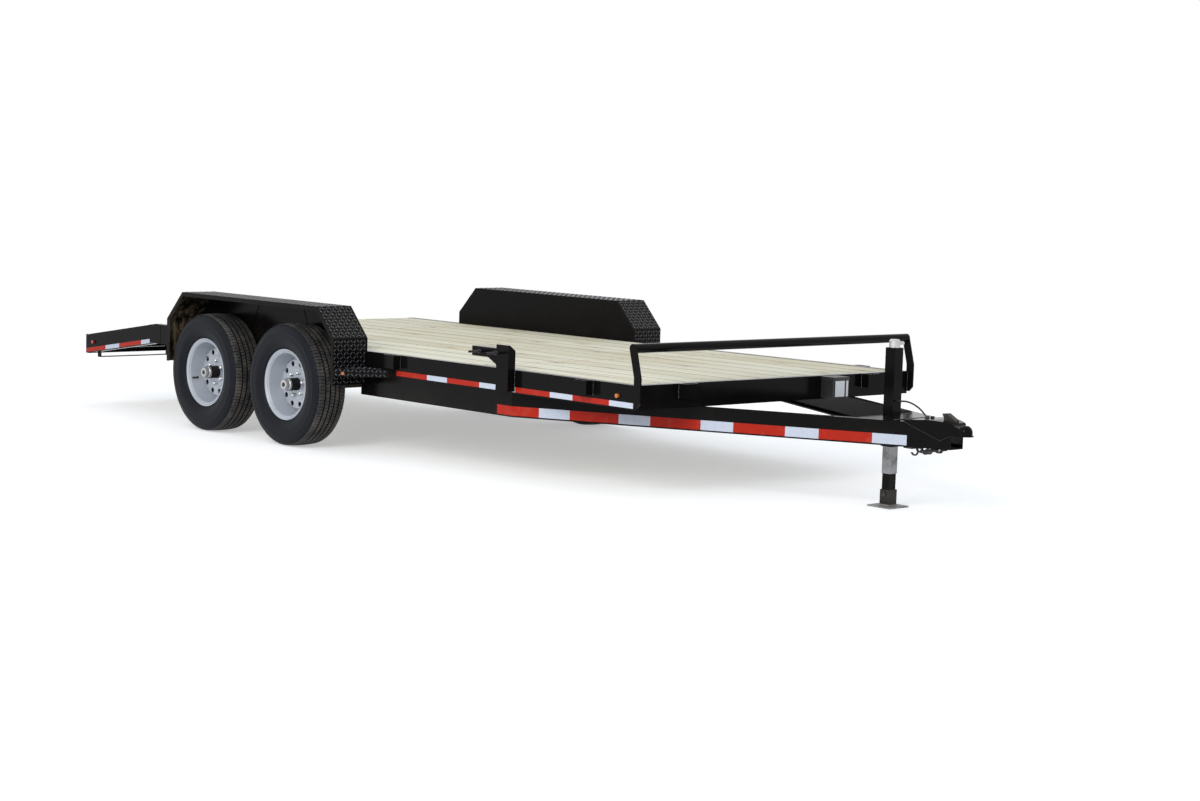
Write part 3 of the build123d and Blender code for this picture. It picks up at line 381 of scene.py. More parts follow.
plank_count = 11
plank_gap = 3 * mm
plank_pitch = (plank_box[1].y - plank_box[0].y + plank_gap) / plank_count
chalk_line = deck_front - 1.28
# The side wall's bluish black base tone is a painted sky sheen on black rubber.
tyre_side = tyre_rubber("tyre_sidewall_sky_sheen", (0.0045, 0.0060, 0.0100), (0.028, 0.028, 0.030), 0.20, 0.06)
tyre_tread = tyre_rubber("tyre_tread", (0.034, 0.034, 0.035), (0.180, 0.162, 0.142), 0.8, 0.04)
# The grooves and cuts get near-black rubber whose dust tone is darker than the side wall's: painted shade in
# the grooves.
tyre_groove_shaded = tyre_rubber("tyre_groove_shaded", (0.004, 0.004, 0.004), (0.018, 0.015, 0.012), 0.5, 0.0)
finishes = {
    "black_paint": black_paint("black_paint"),
    "tread_plate": black_paint("tread_plate_paint", roughness=0.2, dust=0.45, mud_from=low("fender_right").x),
    "axle_paint": black_paint("axle_paint", (0.012, 0.011, 0.011), 0.42, 0.9, 0.8),
    "planks": pine_planks("pine_planks", plank_pitch, plank_box[0].y, chalk_line),
    "tyre": tyre_side,
    "rim_silver": silver_paint("rim_silver_paint"),
    "hub_black": black_paint("hub_black_paint", (0.009, 0.009, 0.010), 0.24, 0.5, 0.7),
    "zinc": plated_steel("zinc_plate", (0.62, 0.62, 0.61), 0.28, 0.25),
    "galvanised": plated_steel("galvanised_steel", (0.34, 0.345, 0.36), 0.42, 0.7),
    "worn_steel": plated_steel("worn_steel", (0.055, 0.052, 0.050), 0.42, 0.5),
    "chain_steel": plated_steel("chain_steel", (0.075, 0.070, 0.066), 0.40, 0.5),
    "cable_jacket": moulded_plastic("cable_jacket", (0.010, 0.010, 0.011), 0.38),
    "black_plastic": moulded_plastic("black_plastic", (0.013, 0.013, 0.014)),
    "amber_lens": lens("amber_lens", (0.62, 0.15, 0.010)),
    "red_lens": lens("red_lens", (0.52, 0.012, 0.012)),
}
tape_red = tape_film("tape_red", (0.46, 0.020, 0.008))
# The white tape's blue tint is a painted cast of sky light on a white film.
tape_white_sky_cast = tape_film("tape_white_sky_cast", (0.60, 0.65, 0.75))
weld_paint = black_paint("weld_paint", (0.012, 0.012, 0.014), 0.20, 0.3, shine=0.6)
# The lugs get a lighter, bluish black than the plate they are pressed from: a painted sky sheen on the lugs,
# with real dust.
lug_sky_sheen_paint = black_paint("lug_sky_sheen_paint", (0.022, 0.024, 0.030), 0.22, 0.35, shine=0.7)
blank_label = moulded_plastic("blank_label", (0.72, 0.73, 0.75), 0.4)
plug_rubber = moulded_plastic("plug_rubber", (0.012, 0.012, 0.012), 0.55)
chrome = plated_steel("nut_plate", (0.68, 0.69, 0.70), 0.18, 0.15)

# Nodes whose finish is not their slot's plain one
own_finish = {"jack_foot": foot_steel("foot_steel"), "jack_pin": finishes["chain_steel"]}
for row in frame["record"]["subparts"]:
    mesh = nodes[row["node"]].data
    mesh.materials.clear()
    mesh.materials.append(own_finish.get(row["node"], finishes[row["material_slot"]]))


# Pieces made as meshes
def piece(name, mesh, body, material_slot, *materials):
    """Links a finished mesh, gives it its materials and rides it on a body."""
    made = bpy.data.objects.new(name, mesh)
    for material in materials:
        mesh.materials.append(material)
    bpy.context.scene.collection.objects.link(made)
    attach(made, body)
    return made


def mesh_of(shape, name):
    """A plain mesh of a bmesh, with its normals outward."""
    bmesh.ops.recalc_face_normals(shape, faces=shape.faces)
    mesh = bpy.data.meshes.new(name)
    shape.to_mesh(mesh)
    shape.free()
    return mesh


def slab(shape, corners, thickness, along, material=0):
    """A thin plate in a bmesh: its four corners in order, made thick along a direction."""
    push = Vector(along).normalized() * thickness
    near = [shape.verts.new(Vector(corner)) for corner in corners]
    far = [shape.verts.new(Vector(corner) + push) for corner in corners]
    faces = [near, far[::-1]]
    faces += [(near[at], near[(at + 1) % 4], far[(at + 1) % 4], far[at]) for at in range(4)]
    for ring in faces:
        shape.faces.new(ring).material_index = material


# Repeats by Geometry Nodes
def repeats_tree():
    """A node group that puts a prototype on each point, turned and stretched as the point says."""
    tree = bpy.data.node_groups.new("repeats", "GeometryNodeTree")
    for name, kind in (("Points", "Geometry"), ("Prototype", "Object"), ("Size", "Float"),
                       ("Turn Spread", "Float"), ("Seed", "Int"), ("Finish", "Material")):
        tree.interface.new_socket(name, in_out="INPUT", socket_type="NodeSocket" + kind)
    tree.interface.new_socket("Pieces", in_out="OUTPUT", socket_type="NodeSocketGeometry")

    def add(kind, **settings):
        """A node with its settings."""
        node = tree.nodes.new(kind)
        for key, value in settings.items():
            setattr(node, key, value)
        return node

    def socket(row, name):
        """The enabled socket of a name in a node's inputs or outputs."""
        return next(found for found in row if found.name == name and found.enabled)

    def link(source, name, target, wanted):
        """Joins an output to an input, both by name."""
        tree.links.new(socket(source.outputs, name), socket(target.inputs, wanted))

    entry = add("NodeGroupInput")
    leave = add("NodeGroupOutput")
    model = add("GeometryNodeObjectInfo", transform_space="ORIGINAL")
    turn = add("GeometryNodeInputNamedAttribute", data_type="FLOAT_VECTOR")
    turn.inputs["Name"].default_value = "turn"
    stretch = add("GeometryNodeInputNamedAttribute", data_type="FLOAT_VECTOR")
    stretch.inputs["Name"].default_value = "stretch"
    back = add("ShaderNodeMath", operation="MULTIPLY")
    back.inputs[1].default_value = -1.0
    chance = add("FunctionNodeRandomValue", data_type="FLOAT_VECTOR")
    turned = add("ShaderNodeVectorMath", operation="ADD")
    sized = add("ShaderNodeVectorMath", operation="SCALE")
    place = add("GeometryNodeInstanceOnPoints")
    realize = add("GeometryNodeRealizeInstances")
    coat = add("GeometryNodeSetMaterial")
    link(entry, "Points", place, "Points")
    link(entry, "Prototype", model, "Object")
    link(entry, "Seed", chance, "Seed")
    link(entry, "Turn Spread", chance, "Max")
    tree.links.new(socket(entry.outputs, "Turn Spread"), back.inputs[0])
    tree.links.new(back.outputs[0], socket(chance.inputs, "Min"))
    tree.links.new(socket(turn.outputs, "Attribute"), turned.inputs[0])
    tree.links.new(socket(chance.outputs, "Value"), turned.inputs[1])
    tree.links.new(socket(stretch.outputs, "Attribute"), sized.inputs[0])
    link(entry, "Size", sized, "Scale")
    link(model, "Geometry", place, "Instance")
    tree.links.new(turned.outputs[0], socket(place.inputs, "Rotation"))
    tree.links.new(sized.outputs[0], socket(place.inputs, "Scale"))
    link(place, "Instances", realize, "Geometry")
    link(realize, "Geometry", coat, "Geometry")
    link(entry, "Finish", coat, "Material")
    link(coat, "Geometry", leave, "Pieces")
    return tree


repeats = repeats_tree()
repeat_inputs = [item for item in repeats.interface.items_tree if item.in_out == "INPUT"]
repeat_sockets = {item.name: item.identifier for item in repeat_inputs}
repeat_seed = 7
# The stretch of a copy in its own size
whole = (1.0, 1.0, 1.0)


def repeated(name, body, material_slot, material, prototype, rows, spread=0.0):
    """One piece of a prototype's copies: each row is a place, a turn and a stretch."""
    points = bpy.data.meshes.new(name + "_points")
    points.from_pydata([tuple(row[0]) for row in rows], [], [])
    for key, column in (("turn", 1), ("stretch", 2)):
        values = [value for row in rows for value in row[column]]
        points.attributes.new(key, "FLOAT_VECTOR", "POINT").data.foreach_set("vector", values)
    carrier = bpy.data.objects.new(name + "_carrier", points)
    bpy.context.scene.collection.objects.link(carrier)
    model = bpy.data.objects.new(name + "_model", prototype)
    modifier = carrier.modifiers.new("repeats", "NODES")
    modifier.node_group = repeats
    inputs = {"Prototype": model, "Size": 1.0, "Turn Spread": spread, "Seed": repeat_seed, "Finish": material}
    for key, value in inputs.items():
        modifier[repeat_sockets[key]] = value
    mesh = bpy.data.meshes.new_from_object(carrier.evaluated_get(bpy.context.evaluated_depsgraph_get()))
    carrier.modifiers.clear()
    bpy.data.objects.remove(carrier)
    bpy.data.objects.remove(model)
    mesh.name = name
    mesh.materials.clear()
    return piece(name, mesh, body, material_slot, material)


def turn_to(along, up=(0, 0, 1)):
    """Euler turn that lays a prototype's X on a direction, with its Z near another."""
    x_axis = Vector(along).normalized()
    z_axis = (Vector(up) - Vector(up).dot(x_axis) * x_axis).normalized()
    y_axis = z_axis.cross(x_axis)
    return tuple(Matrix((x_axis, y_axis, z_axis)).transposed().to_euler())


def soften(mesh, angle=32):
    """Smooth shading, with edges sharper than the angle kept."""
    mesh.shade_smooth()
    mesh.set_sharp_from_angle(angle=radians(angle))
    return mesh


def turned_form(name, profile, steps=24, hexagon=(), unit=mm):
    """A form turned about Z from pairs of radius and height.

    The pairs whose places hexagon lists get six flats, and unit is what the pairs are measured in.
    """
    shape = bmesh.new()
    rings = []
    for at, (radius, height) in enumerate(profile):
        radius *= unit
        height *= unit
        if radius == 0:
            rings.append([shape.verts.new((0, 0, height))] * steps)
            continue
        ring = []
        for step in range(steps):
            angle = 2 * pi * step / steps
            reach = radius * cos(pi / 6) / cos((angle % (pi / 3)) - pi / 6) if at in hexagon else radius
            ring.append(shape.verts.new((reach * cos(angle), reach * sin(angle), height)))
        rings.append(ring)
    for low_ring, high_ring in zip(rings, rings[1:]):
        for step in range(steps):
            after = (step + 1) % steps
            corners = [low_ring[step], low_ring[after], high_ring[after], high_ring[step]]
            shape.faces.new(list(dict.fromkeys(corners)))
    bmesh.ops.remove_doubles(shape, verts=shape.verts, dist=1e-7)
    return soften(mesh_of(shape, name))


# Tread plate: raised lugs on the fenders' outer sides and on the steps
lug_length = 23 * mm
lug_width = 7.6 * mm
lug_height = 1.8 * mm
lug_flank = 1.7 * mm
lug_sunk = 0.2 * mm
lug_pitch = 23 * mm
lug_margin = 11 * mm


def lug_form():
    """A pointed lug with sloping flanks, its foot sunk a little in the sheet."""
    outline = [(1, 0), (0.5, 1), (-0.5, 1), (-1, 0), (-0.5, -1), (0.5, -1)]
    top_length = lug_length / 2 - 2 * lug_flank
    top_width = lug_width / 2 - lug_flank
    shape = bmesh.new()
    foot = [shape.verts.new((u * lug_length / 2, v * lug_width / 2, -lug_sunk)) for u, v in outline]
    top = [shape.verts.new((u * top_length, v * top_width, lug_height)) for u, v in outline]
    shape.faces.new(foot[::-1])
    shape.faces.new(top)
    for at in range(6):
        shape.faces.new((foot[at], foot[(at + 1) % 6], top[(at + 1) % 6], top[at]))
    return mesh_of(shape, "lug")


def lug_rows(origin, across, along, width, length, inside=None):
    """Lugs on a flat panel from a corner: turned one way and then the other, like the plate's pattern."""
    across, along = Vector(across).normalized(), Vector(along).normalized()
    normal = across.cross(along)
    columns = int((width - 2 * lug_margin) / lug_pitch) + 1
    lines = int((length - 2 * lug_margin) / lug_pitch) + 1
    rows = []
    for i in range(columns):
        for j in range(lines):
            u = width / 2 + (i - (columns - 1) / 2) * lug_pitch
            v = length / 2 + (j - (lines - 1) / 2) * lug_pitch
            if inside and not inside(u, v):
                continue
            diagonal = across + along if (i + j) % 2 else across - along
            rows.append((Vector(origin) + across * u + along * v, turn_to(diagonal, normal), whole))
    return rows


# The fender's bends: the height of the lower ones, and how far each slope runs along the trailer
fender_bend_z = 0.669
fender_rear_run = 0.172
fender_front_run = 0.166
fender_points = [
    (fender_low.x, fender_low.z),
    (fender_low.x, fender_bend_z),
    (fender_low.x + fender_rear_run, fender_high.z),
    (fender_high.x - fender_front_run, fender_high.z),
    (fender_high.x, fender_bend_z),
    (fender_high.x, fender_low.z)]
step_length = 0.206
step_top = high("side_steps").z
step_lip = 0.046
step_margin = 0.01
# How far out towards the step's slanting edge the lugs go
step_share = 0.90


def on_step(ahead, out):
    """Whether a place ahead of the fender and out from the rail lies on the three-cornered step."""
    return ahead / step_length + out / fender_width < step_share and min(ahead, out) > step_margin


def on_step_turned(out, ahead):
    """The same with the two lengths the other way round."""
    return on_step(ahead, out)


lug = lug_form()
for side, name in ((-1, "right"), (1, "left")):
    rows = []
    for (x_0, z_0), (x_1, z_1) in zip(fender_points, fender_points[1:]):
        run = Vector((x_1 - x_0, 0, z_1 - z_0))
        start = Vector((x_0, side * frame_half, z_0))
        if side < 0:
            rows += lug_rows(start, (0, side, 0), run, fender_width, run.length)
        else:
            rows += lug_rows(start + run, (0, side, 0), -run, fender_width, run.length)
    step_corner = Vector((fender_high.x, side * frame_half, step_top))
    if side < 0:
        rows += lug_rows(step_corner, (0, side, 0), (1, 0, 0), fender_width, step_length, on_step_turned)
    else:
        rows += lug_rows(step_corner, (1, 0, 0), (0, side, 0), step_length, fender_width, on_step)
    lip_start = Vector((fender_high.x + step_length, side * frame_half, step_top - step_lip))
    lip_run = Vector((-step_length, side * fender_width, 0))
    if side < 0:
        rows += lug_rows(lip_start + lip_run, -lip_run, (0, 0, 1), lip_run.length, step_lip)
    else:
        rows += lug_rows(lip_start, lip_run, (0, 0, 1), lip_run.length, step_lip)
    repeated(f"tread_lugs_{name}", "chassis", "tread_plate", lug_sky_sheen_paint, lug, rows)


# Tyres: a ribbed tread with four grooves and narrow cuts across it, round shoulders and a ringed side wall
tyre_radius = (high("tyre_front_right").z - low("tyre_front_right").z) / 2
# Half section in mm: distance from the middle plane, drop below the tyre's radius, and which cuts cross it:
# 0 none, 1 the first of each pitch, 3 both
half_tread = [
    (6, 0.0, 3), (12.5, 0.1, 3), (14, 8, 0), (20, 8, 0), (21.5, 0.3, 3), (33, 0.7, 3), (45, 1.2, 3),
    (46.5, 8.6, 0), (52.5, 8.8, 0), (54, 1.7, 3), (69, 2.9, 3), (83, 4.6, 3), (91, 8.6, 1), (97.5, 15, 1)]
side_wall = [
    (102.5, 24, 0), (106, 35, 0), (107.8, 45, 0), (109.6, 48, 0), (110.3, 52, 0), (109.6, 56, 0),
    (109.2, 66, 0), (110.7, 82, 0), (109.6, 98, 0), (105.5, 112, 0), (99, 125, 0), (94.5, 133, 0)]
bead_seat = [
    (93.5, 139, 0), (90, 141, 0), (86.6, 146, 0), (79.5, 152.4, 0), (78.3, 153.2, 0), (78.3, 171.6, 0)]
half_section = half_tread + side_wall + bead_seat
tread_pitches = 56
# Stations of one pitch: the place in mm round the tread and which cut is there, 0 for none
cut_stations = [(-2.3, 0), (-1.1, 1), (1.1, 1), (2.3, 0), (18.0, 0), (19.2, 2), (21.4, 2), (22.6, 0)]
cut_depth = 4.5 * mm
# Distance from the middle plane in mm and how far round the tread the cuts are shifted there
cut_shifts = [(-54, 2), (-45, 12), (-21.5, 8), (-12.5, -2), (12.5, 2), (21.5, -8), (45, -12), (54, -2)]
# In mm, from the middle plane outwards and from the tread inwards: how far the grooves and the tread reach
groove_reach = 54
groove_drop = 8
tread_drop = 9


def cut_shift(offset):
    """The cuts' shift at a distance from the middle plane, even between the listed ones."""
    if abs(offset) >= cut_shifts[-1][0]:
        return cut_shifts[0 if offset < 0 else -1][1]
    for (start, first), (stop, last) in zip(cut_shifts, cut_shifts[1:]):
        if start <= offset <= stop:
            return first + (last - first) * (offset - start) / (stop - start)


def tyre_mesh():
    """One tyre about the Y axis at the origin; material 0 side wall, 1 tread, 2 grooves and cuts with painted
    shade.
    """
    loop = [(-offset, drop, phase) for offset, drop, phase in reversed(half_section)] + half_section
    around = 2 * pi * tyre_radius / tread_pitches
    verts = []
    for pitch in range(tread_pitches):
        for place, cut in cut_stations:
            for offset, drop, phase in loop:
                angle = (pitch + (place + cut_shift(offset)) * mm / around) * 2 * pi / tread_pitches
                radius = tyre_radius - drop * mm - (cut_depth if cut & phase else 0)
                verts.append((radius * sin(angle), offset * mm, radius * cos(angle)))
    count = len(loop)
    total = tread_pitches * len(cut_stations)
    faces = []
    kinds = []
    for station in range(total):
        after = (station + 1) % total
        cut_here = cut_stations[station % len(cut_stations)][1] and cut_stations[after % len(cut_stations)][1]
        for at in range(count):
            follow = (at + 1) % count
            here = station * count
            there = after * count
            faces.append((here + at, there + at, there + follow, here + follow))
            nearest = min(abs(loop[at][0]), abs(loop[follow][0]))
            deepest = max(loop[at][1], loop[follow][1])
            grooved = groove_drop <= deepest < tread_drop and nearest < groove_reach
            sliced = cut_here & loop[at][2] & loop[follow][2]
            kinds.append(2 if grooved or sliced else 1 if deepest < tread_drop else 0)
    mesh = bpy.data.meshes.new("tyre")
    mesh.from_pydata(verts, [], faces)
    mesh.polygons.foreach_set("material_index", kinds)
    shape = bmesh.new()
    shape.from_mesh(mesh)
    bmesh.ops.recalc_face_normals(shape, faces=shape.faces)
    shape.to_mesh(mesh)
    shape.free()
    return soften(mesh, 30)


# Wheel hardware: nuts on the wheel's disc, the cap's ring and plug on the hub, and the valve in the rim
lug_nut = turned_form("lug_nut", [
    (0, 0), (9.5, 0), (12.0, 3), (12.0, 16), (10.6, 18), (8.6, 21), (5.0, 24), (0, 25)], 24, (2, 3))
cap_ring = turned_form("cap_ring", [
    (0, 60), (38.4, 60), (38.4, 64), (33, 66.8), (31.5, 70), (30.1, 71), (30.1, 78), (31.2, 79), (31.2, 91),
    (30.0, 95), (27, 97), (15, 97), (13.4, 96.2), (13.4, 90), (0, 90)], 48)
cap_plug = turned_form("cap_plug", [
    (0, 95.9), (13.2, 95.9), (13.2, 98.0), (11, 99.3), (5, 99.6), (3.5, 98.6), (0, 98.4)], 24)
valve = turned_form("valve", [
    (0, 0), (7.2, 0), (7.2, 6), (4.6, 9), (4.2, 30), (5.0, 31), (5.0, 39), (3.6, 40.5), (0, 40.5)], 16)
nut_count = 6
nut_circle = 139.7 * mm / 2
disc_face = -1 * mm
valve_circle = 171 * mm
valve_foot = 30 * mm


def on_wheel(centre, side, radius, angle, depth):
    """A place on a wheel: at a radius and an angle in degrees, and a depth outward of its middle plane."""
    return centre + Vector((radius * cos(radians(angle)), side * depth, radius * sin(radians(angle))))


first_tyre = tyre_mesh()
# Wheel, turn of its nuts and angle of its valve in degrees
wheels = [("front_right", 12, 48), ("front_left", 40, 130), ("rear_right", 27, 196), ("rear_left", 3, 310)]
for wheel, nut_turn, valve_turn in wheels:
    tyre_low, tyre_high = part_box("tyre_" + wheel)
    centre = (tyre_low + tyre_high) / 2
    side = -1 if wheel.endswith("right") else 1
    body = "wheel_" + wheel
    mesh = first_tyre.copy()
    mesh.name = "ribbed_tyre_" + wheel
    mesh.transform(Matrix.Translation(centre))
    tyre = piece("ribbed_tyre_" + wheel, mesh, body, "tyre", tyre_side, tyre_tread, tyre_groove_shaded)
    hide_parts("tyre_" + wheel)
    outward_turn = turn_to((1, 0, 0), (0, side, 0))
    nut_angles = [nut_turn + 360 / nut_count * at for at in range(nut_count)]
    nut_places = [on_wheel(centre, side, nut_circle, angle, disc_face) for angle in nut_angles]
    rows = [(place, outward_turn, whole) for place in nut_places]
    repeated("lug_nuts_" + wheel, body, "zinc", chrome, lug_nut, rows)
    repeated("cap_ring_" + wheel, body, "zinc", finishes["zinc"], cap_ring, [(centre, outward_turn, whole)])
    repeated("cap_plug_" + wheel, body, "hub_black", plug_rubber, cap_plug, [(centre, outward_turn, whole)])
    repeated("valve_" + wheel, body, "tyre", plug_rubber, valve,
             [(on_wheel(centre, side, valve_circle, valve_turn, valve_foot), outward_turn, whole)])


# Welds: overlapping beads along the seams
bead = turned_form("bead", [(0, -1.0), (0.72, -0.7), (1.0, 0), (0.72, 0.7), (0, 1.0)], 8, unit=1)
bead_pitch = 4.2 * mm
bead_length_share = 0.85


def weld_rows(start, stop, radius=3.2 * mm):
    """Beads from start to stop, each a flattened drop that laps the one before."""
    run = Vector(stop) - Vector(start)
    count = max(2, round(run.length / bead_pitch))
    turn = turn_to(run)
    stretch = (radius * bead_length_share, radius, radius)
    return [(Vector(start) + run * (at / (count - 1)), turn, stretch) for at in range(count)]


def level_weld(x, half, z, radius):
    """Beads across the trailer at a height, from one side to the other."""
    return weld_rows((x, -half, z), (x, half, z), radius)


def leg_half(x):
    """Distance from the trailer's middle to the tongue legs' outer faces, ahead of their bends."""
    return frame_half - (x - beam_bend) * tan(tongue_angle)


# Seams: places are behind the deck's front, below the deck's top or beside a bend
pocket_low = deck_top - 0.076
pocket_top = deck_top - 0.002
rail_pockets = (-1.984, -0.366)
front_pocket_middle = 0.712
pocket_half = 0.046
weld_clear = 0.001
tail_seams = (0.057, -0.060)
tail_seam_low = deck_top - 0.120
tail_seam_top = deck_top - 0.008
fender_seam_ahead = 0.018
fender_seam_side = 0.006
wing_clear = 0.0015
# The coupler's wing, as places behind the legs' front ends and above their undersides
wing_edge = [(0.210, 0.124), (0.048, 0.044), (0.004, 0.068)]
post_weld_low = 0.482
spare_mount_front = deck_front - 0.940
spare_mount_width = 0.100
jack_seam_share = 0.72
rows = []
for side in (-1, 1):
    rail_face = side * frame_half
    weld_face = side * (frame_half + weld_clear)
    for pocket_x in rail_pockets:
        for edge in (-pocket_half, pocket_half):
            x = deck_front + pocket_x + edge
            rows += weld_rows((x, rail_face, pocket_low), (x, rail_face, pocket_top))
    for edge in (-pocket_half, pocket_half):
        y = side * front_pocket_middle + edge
        rows += weld_rows((deck_front, y, pocket_low), (deck_front, y, pocket_top))
    for ahead in tail_seams:
        seam_x = bend_x + ahead
        rows += weld_rows((seam_x, weld_face, tail_seam_low), (seam_x, weld_face, tail_seam_top), 2.4 * mm)
    for end_x, run, way in ((fender_high.x, fender_front_run, -1), (fender_low.x, fender_rear_run, 1)):
        seam_x = end_x + way * fender_seam_ahead
        seam_z = fender_bend_z + fender_seam_ahead * (fender_high.z - fender_bend_z) / run
        inner = side * (frame_half + fender_seam_side)
        outer = side * (frame_half + fender_width - fender_seam_side)
        rows += weld_rows((seam_x, inner, seam_z), (seam_x, outer, seam_z), 2.0 * mm)
    wing = []
    for behind, above in wing_edge:
        x = beam_front - behind
        wing.append(Vector((x, side * (leg_half(x) + wing_clear), beam_low + above)))
    for seam_start, seam_stop in zip(wing, wing[1:]):
        rows += weld_rows(seam_start, seam_stop, 2.8 * mm)
for x in (spare_mount_front, spare_mount_front - spare_mount_width):
    rows += weld_rows((x, -frame_half, post_weld_low), (x, -frame_half, pocket_top))
jack_low, jack_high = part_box("jack_plate")
for seam_x in (jack_low.x, jack_high.x):
    rows += level_weld(seam_x, leg_half(seam_x) * jack_seam_share, jack_high.z, 2.6 * mm)
for side in (-1, 1):
    weld_face = side * (frame_half + weld_clear)
    rows += weld_rows((deck_front, weld_face, post_weld_low), (deck_front, weld_face, deck_top - 0.004))
repeated("weld_beads", "chassis", "black_paint", weld_paint, bead, rows, 0.12)


# Fasteners: the nuts on the coupler's cover and the spare wheel's studs
hex_bolt = turned_form("hex_bolt", [(0, -1), (13, -1), (13, 2), (10.2, 2.1), (10.8, 2.6), (10.8, 9), (9, 10),
                                    (0, 10.4)], 24, (4, 5))
cover_rear = beam_front - 0.212
cover_top = beam_low + 0.1375
cover_slope = 0.04
nut_sunk = 0.001
# Ahead of the cover's rear edge, from the middle, stretch upward
cover_nuts = [(0.012, 0.012, 1.3), (0.030, -0.014, 1.5), (0.045, 0.010, 1.3)]
rows = []
for ahead, aside, tall in cover_nuts:
    place = (cover_rear + ahead, aside, cover_top - nut_sunk + ahead * cover_slope)
    rows.append((place, turn_to((1, 0, -0.02)), (1, 1, tall)))
stud_spacing = 0.1397
stud_places = (spare_mount_front - 0.098, spare_mount_front - 0.098 - stud_spacing)
stud_z = 0.679
stud_outer = -frame_half - 0.050
stud_turn = turn_to((1, 0, 0), (0, -1, 0))
for stud_x in stud_places:
    rows.append(((stud_x, stud_outer, stud_z), stud_turn, whole))
repeated("chassis_nuts", "chassis", "black_paint", weld_paint, hex_bolt, rows)


# Deck screws: two in each board on each line across the deck, the lines measured back from the deck's front
screw_head = turned_form("screw_head", [
    (0, -0.6), (5.2, -0.6), (5.2, 0.3), (3.4, 0.6), (2.2, 0.1), (0, 0)], 10)
screw_lines = (0.05, 1.28, 2.50, 3.72, 4.48)
screw_shares = (0.25, 0.75)
screw_clear = 0.2 * mm
rows = []
for line in screw_lines:
    for board in range(plank_count):
        for share in screw_shares:
            y = plank_box[0].y + (board + share) * plank_pitch
            turn = (0, 0, board * 0.7 + line)
            rows.append(((deck_front - line, y, plank_box[1].z + screw_clear), turn, whole))
repeated("deck_screws", "chassis", "zinc", finishes["worn_steel"], screw_head, rows)


# Threads on the spare wheel's studs: rings along each
thread = turned_form("thread", [(6.3, -0.9), (7.0, 0), (6.3, 0.9), (5.6, 0), (6.3, -0.9)], 12)
thread_count = 30
thread_pitch = 0.002
thread_start = stud_outer - 0.014
rows = []
for stud_x in stud_places:
    for at in range(thread_count):
        rows.append(((stud_x, thread_start - at * thread_pitch, stud_z), stud_turn, whole))
repeated("stud_threads", "chassis", "black_paint", weld_paint, thread, rows)


# Blank label and strip on the battery box
label = bmesh.new()
label_face = high("battery_box").x + 0.1 * mm
label_low = 0.486
label_top = 0.572
label_thickness = 0.5 * mm
# From and to, measured to the left of the trailer's middle
for y_0, y_1 in ((0.332, 0.408), (0.420, 0.437)):
    corners = [(y_0, label_low), (y_1, label_low), (y_1, label_top), (y_0, label_top)]
    slab(label, [(label_face, y, z) for y, z in corners], label_thickness, (1, 0, 0))
piece("blank_labels", mesh_of(label, "blank_labels"), "chassis", "black_plastic", blank_label)


# Reflective tape: 11 inch red and 7 inch white stretches
red_length = 11 * inch
white_length = 7 * inch
side_tape_height = 28.3 * mm
tongue_tape_height = 2 * inch
tape_thickness = 0.4 * mm
tape_clear = 0.2 * mm


def tape_run(shape, start, direction, height, stretches, outward):
    """Tape from start along a direction: each stretch is a colour, r red or w white, and a length."""
    at = Vector(start)
    for colour, length in stretches:
        end = at + Vector(direction) * length
        up = Vector((0, 0, height))
        slab(shape, (at, end, end + up, at + up), tape_thickness, outward, 0 if colour == "r" else 1)
        at = end


def full_stretches(colours):
    """Uncut stretches of the given colours."""
    return [(colour, red_length if colour == "r" else white_length) for colour in colours]


tape = bmesh.new()
side_tape_low = 0.475
# Rear ends of the rail's two long tapes and of the scrap ahead of the spare mount, behind the deck's front
side_tapes = (-1.9725, -0.934)
scrap_tape = -0.962
scrap_length = 0.0278
tongue_tape_low = 0.348
# The tongue's first red stretch is folded round the leg's bend, this much of it ahead of the bend
red_past_bend = 0.1456 / cos(tongue_angle)
red_before_bend = red_length - red_past_bend
tail_tape_low = deck_top - 0.121
tail_tape_margin = 0.006
tail_length = hypot(bend_x - tail_end, (bend_x - tail_end) * tail_slope)
tail_direction = Vector((-1, 0, -tail_slope)).normalized()
last_red = tail_length - red_length - 2 * white_length - tail_tape_margin
for side in (-1, 1):
    outward = (0, side, 0)
    face = side * (frame_half + tape_clear)
    for first in side_tapes:
        tape_run(tape, (deck_front + first, face, side_tape_low), (1, 0, 0), side_tape_height,
                 full_stretches("rwrw"), outward)
    tape_run(tape, (deck_front + scrap_tape, face, side_tape_low), (1, 0, 0), side_tape_height,
             [("w", scrap_length)], outward)
    leg = Vector((cos(tongue_angle), -side * sin(tongue_angle), 0))
    leg_out = Vector((sin(tongue_angle), side * cos(tongue_angle), 0))
    corner = Vector((beam_bend, face, tongue_tape_low))
    tape_run(tape, corner - Vector((red_before_bend, 0, 0)), (1, 0, 0), tongue_tape_height,
             [("r", red_before_bend)], outward)
    tape_run(tape, corner, leg, tongue_tape_height,
             [("r", red_past_bend)] + full_stretches("wrwrwrwrw"), leg_out)
    tape_run(tape, (bend_x, face, tail_tape_low), tail_direction, side_tape_height,
             full_stretches("wrw") + [("r", last_red)], outward)
piece("reflective_tape", mesh_of(tape, "reflective_tape"), "chassis", "red_lens", tape_red, tape_white_sky_cast)


# Floor, background and light
def seen_directly(tree):
    """1 for rays from the camera, in a mirror or through glass, 0 for the light that falls on things."""
    path = tree.nodes.new("ShaderNodeLightPath")
    total = path.outputs["Is Camera Ray"]
    for name in ("Is Glossy Ray", "Is Transmission Ray"):
        add = tree.nodes.new("ShaderNodeMath")
        add.operation = "ADD"
        add.use_clamp = True
        tree.links.new(total, add.inputs[0])
        tree.links.new(path.outputs[name], add.inputs[1])
        total = add.outputs[0]
    return total


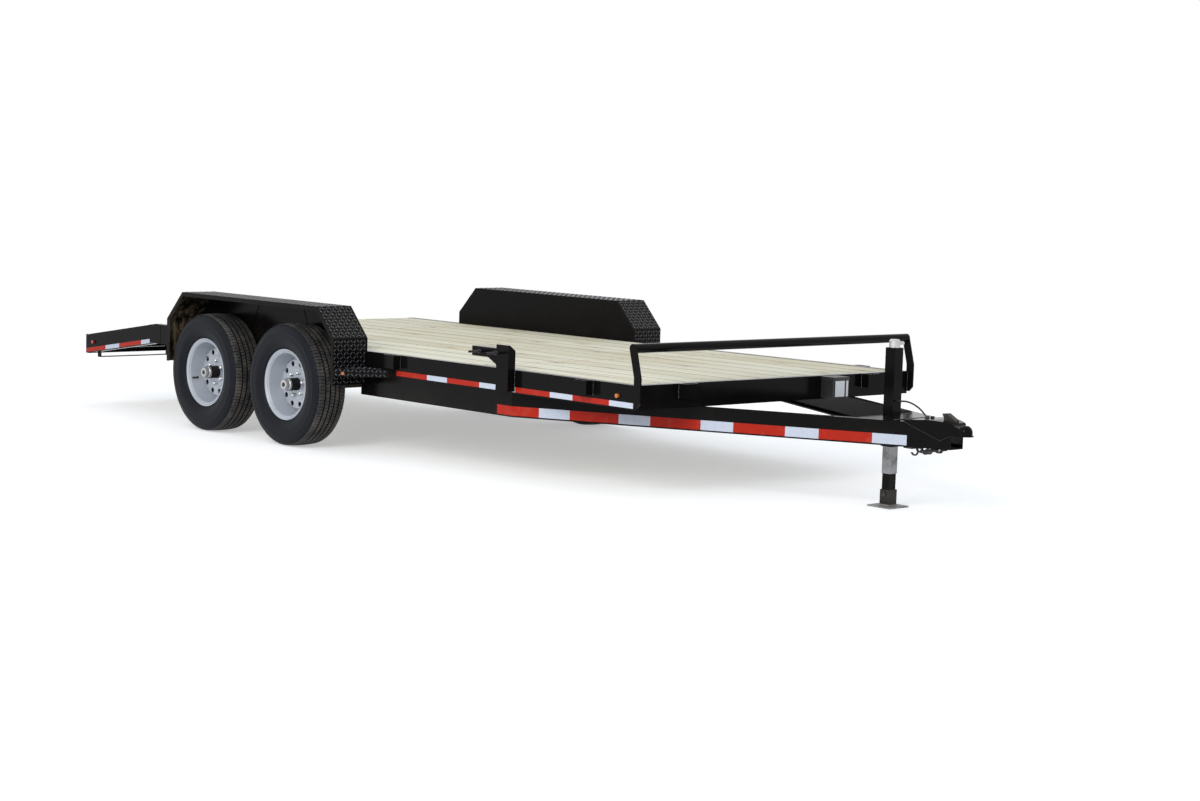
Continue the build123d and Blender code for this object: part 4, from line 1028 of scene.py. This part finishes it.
floor_reach = 60
floor_mesh = bpy.data.meshes.new("floor")
floor_corners = [(x * floor_reach, y * floor_reach, 0) for x, y in ((-1, -1), (1, -1), (1, 1), (-1, 1))]
floor_mesh.from_pydata(floor_corners, [], [(0, 1, 2, 3)])
floor = bpy.data.objects.new("floor", floor_mesh)
bpy.context.scene.collection.objects.link(floor)
# The floor keeps the shadow near the trailer and turns to plain white away from it
pale = Finish("pale_floor", 0.9, Specular_IOR_Level=0.1)
pale.set("Base Color", (0.80, 0.80, 0.79))
seen = Shade(pale, seen_directly(pale.tree))
x, y, z = pale.axes()
away = ((x * x * 0.55 + y * y).math("SQRT")).between(2.6, 7.5)
pale.set("Emission Color", pale.mix(seen, (0, 0, 0), (0.42, 0.42, 0.42)))
pale.set("Emission Strength", 1.0)
white = pale.node("ShaderNodeEmission", inputs={"Color": (1, 1, 1), "Strength": 1.0})
blend = pale.node("ShaderNodeMixShader", inputs={0: seen * away})
pale.tree.links.new(pale.shader.outputs[0], blend.socket.node.inputs[1])
pale.tree.links.new(white.socket, blend.socket.node.inputs[2])
pale.tree.links.new(blend.socket, pale.tree.nodes["Material Output"].inputs["Surface"])
floor_mesh.materials.append(pale.material)

world = bpy.data.worlds.new("studio")
bpy.context.scene.world = world
world.use_nodes = True
tree = world.node_tree
tree.nodes.clear()
background = tree.nodes.new("ShaderNodeBackground")
sky = tree.nodes.new("ShaderNodeMix")
sky.data_type = "RGBA"
sky.inputs[6].default_value = (0.64, 0.68, 0.74, 1)
sky.inputs[7].default_value = (1, 1, 1, 1)
tree.links.new(seen_directly(tree), sky.inputs[0])
tree.links.new(sky.outputs[2], background.inputs["Color"])
output = tree.nodes.new("ShaderNodeOutputWorld")
tree.links.new(background.outputs[0], output.inputs["Surface"])


def soft_light(name, place, aim, size, power, colour):
    """A square area light that looks at a place."""
    light = bpy.data.lights.new(name, "AREA")
    light.size = size
    light.energy = power
    light.color = colour
    lamp = bpy.data.objects.new(name, light)
    lamp.location = place
    lamp.rotation_euler = (Vector(aim) - Vector(place)).to_track_quat("-Z", "Y").to_euler()
    bpy.context.scene.collection.objects.link(lamp)


light_aim = (0, 0, 0.5)
soft_light("key", (4, -9, 5.5), light_aim, 5, 560, (1.0, 0.99, 0.97))
soft_light("fill", (-6, 5, 8), light_aim, 7, 150, (0.9, 0.95, 1.0))
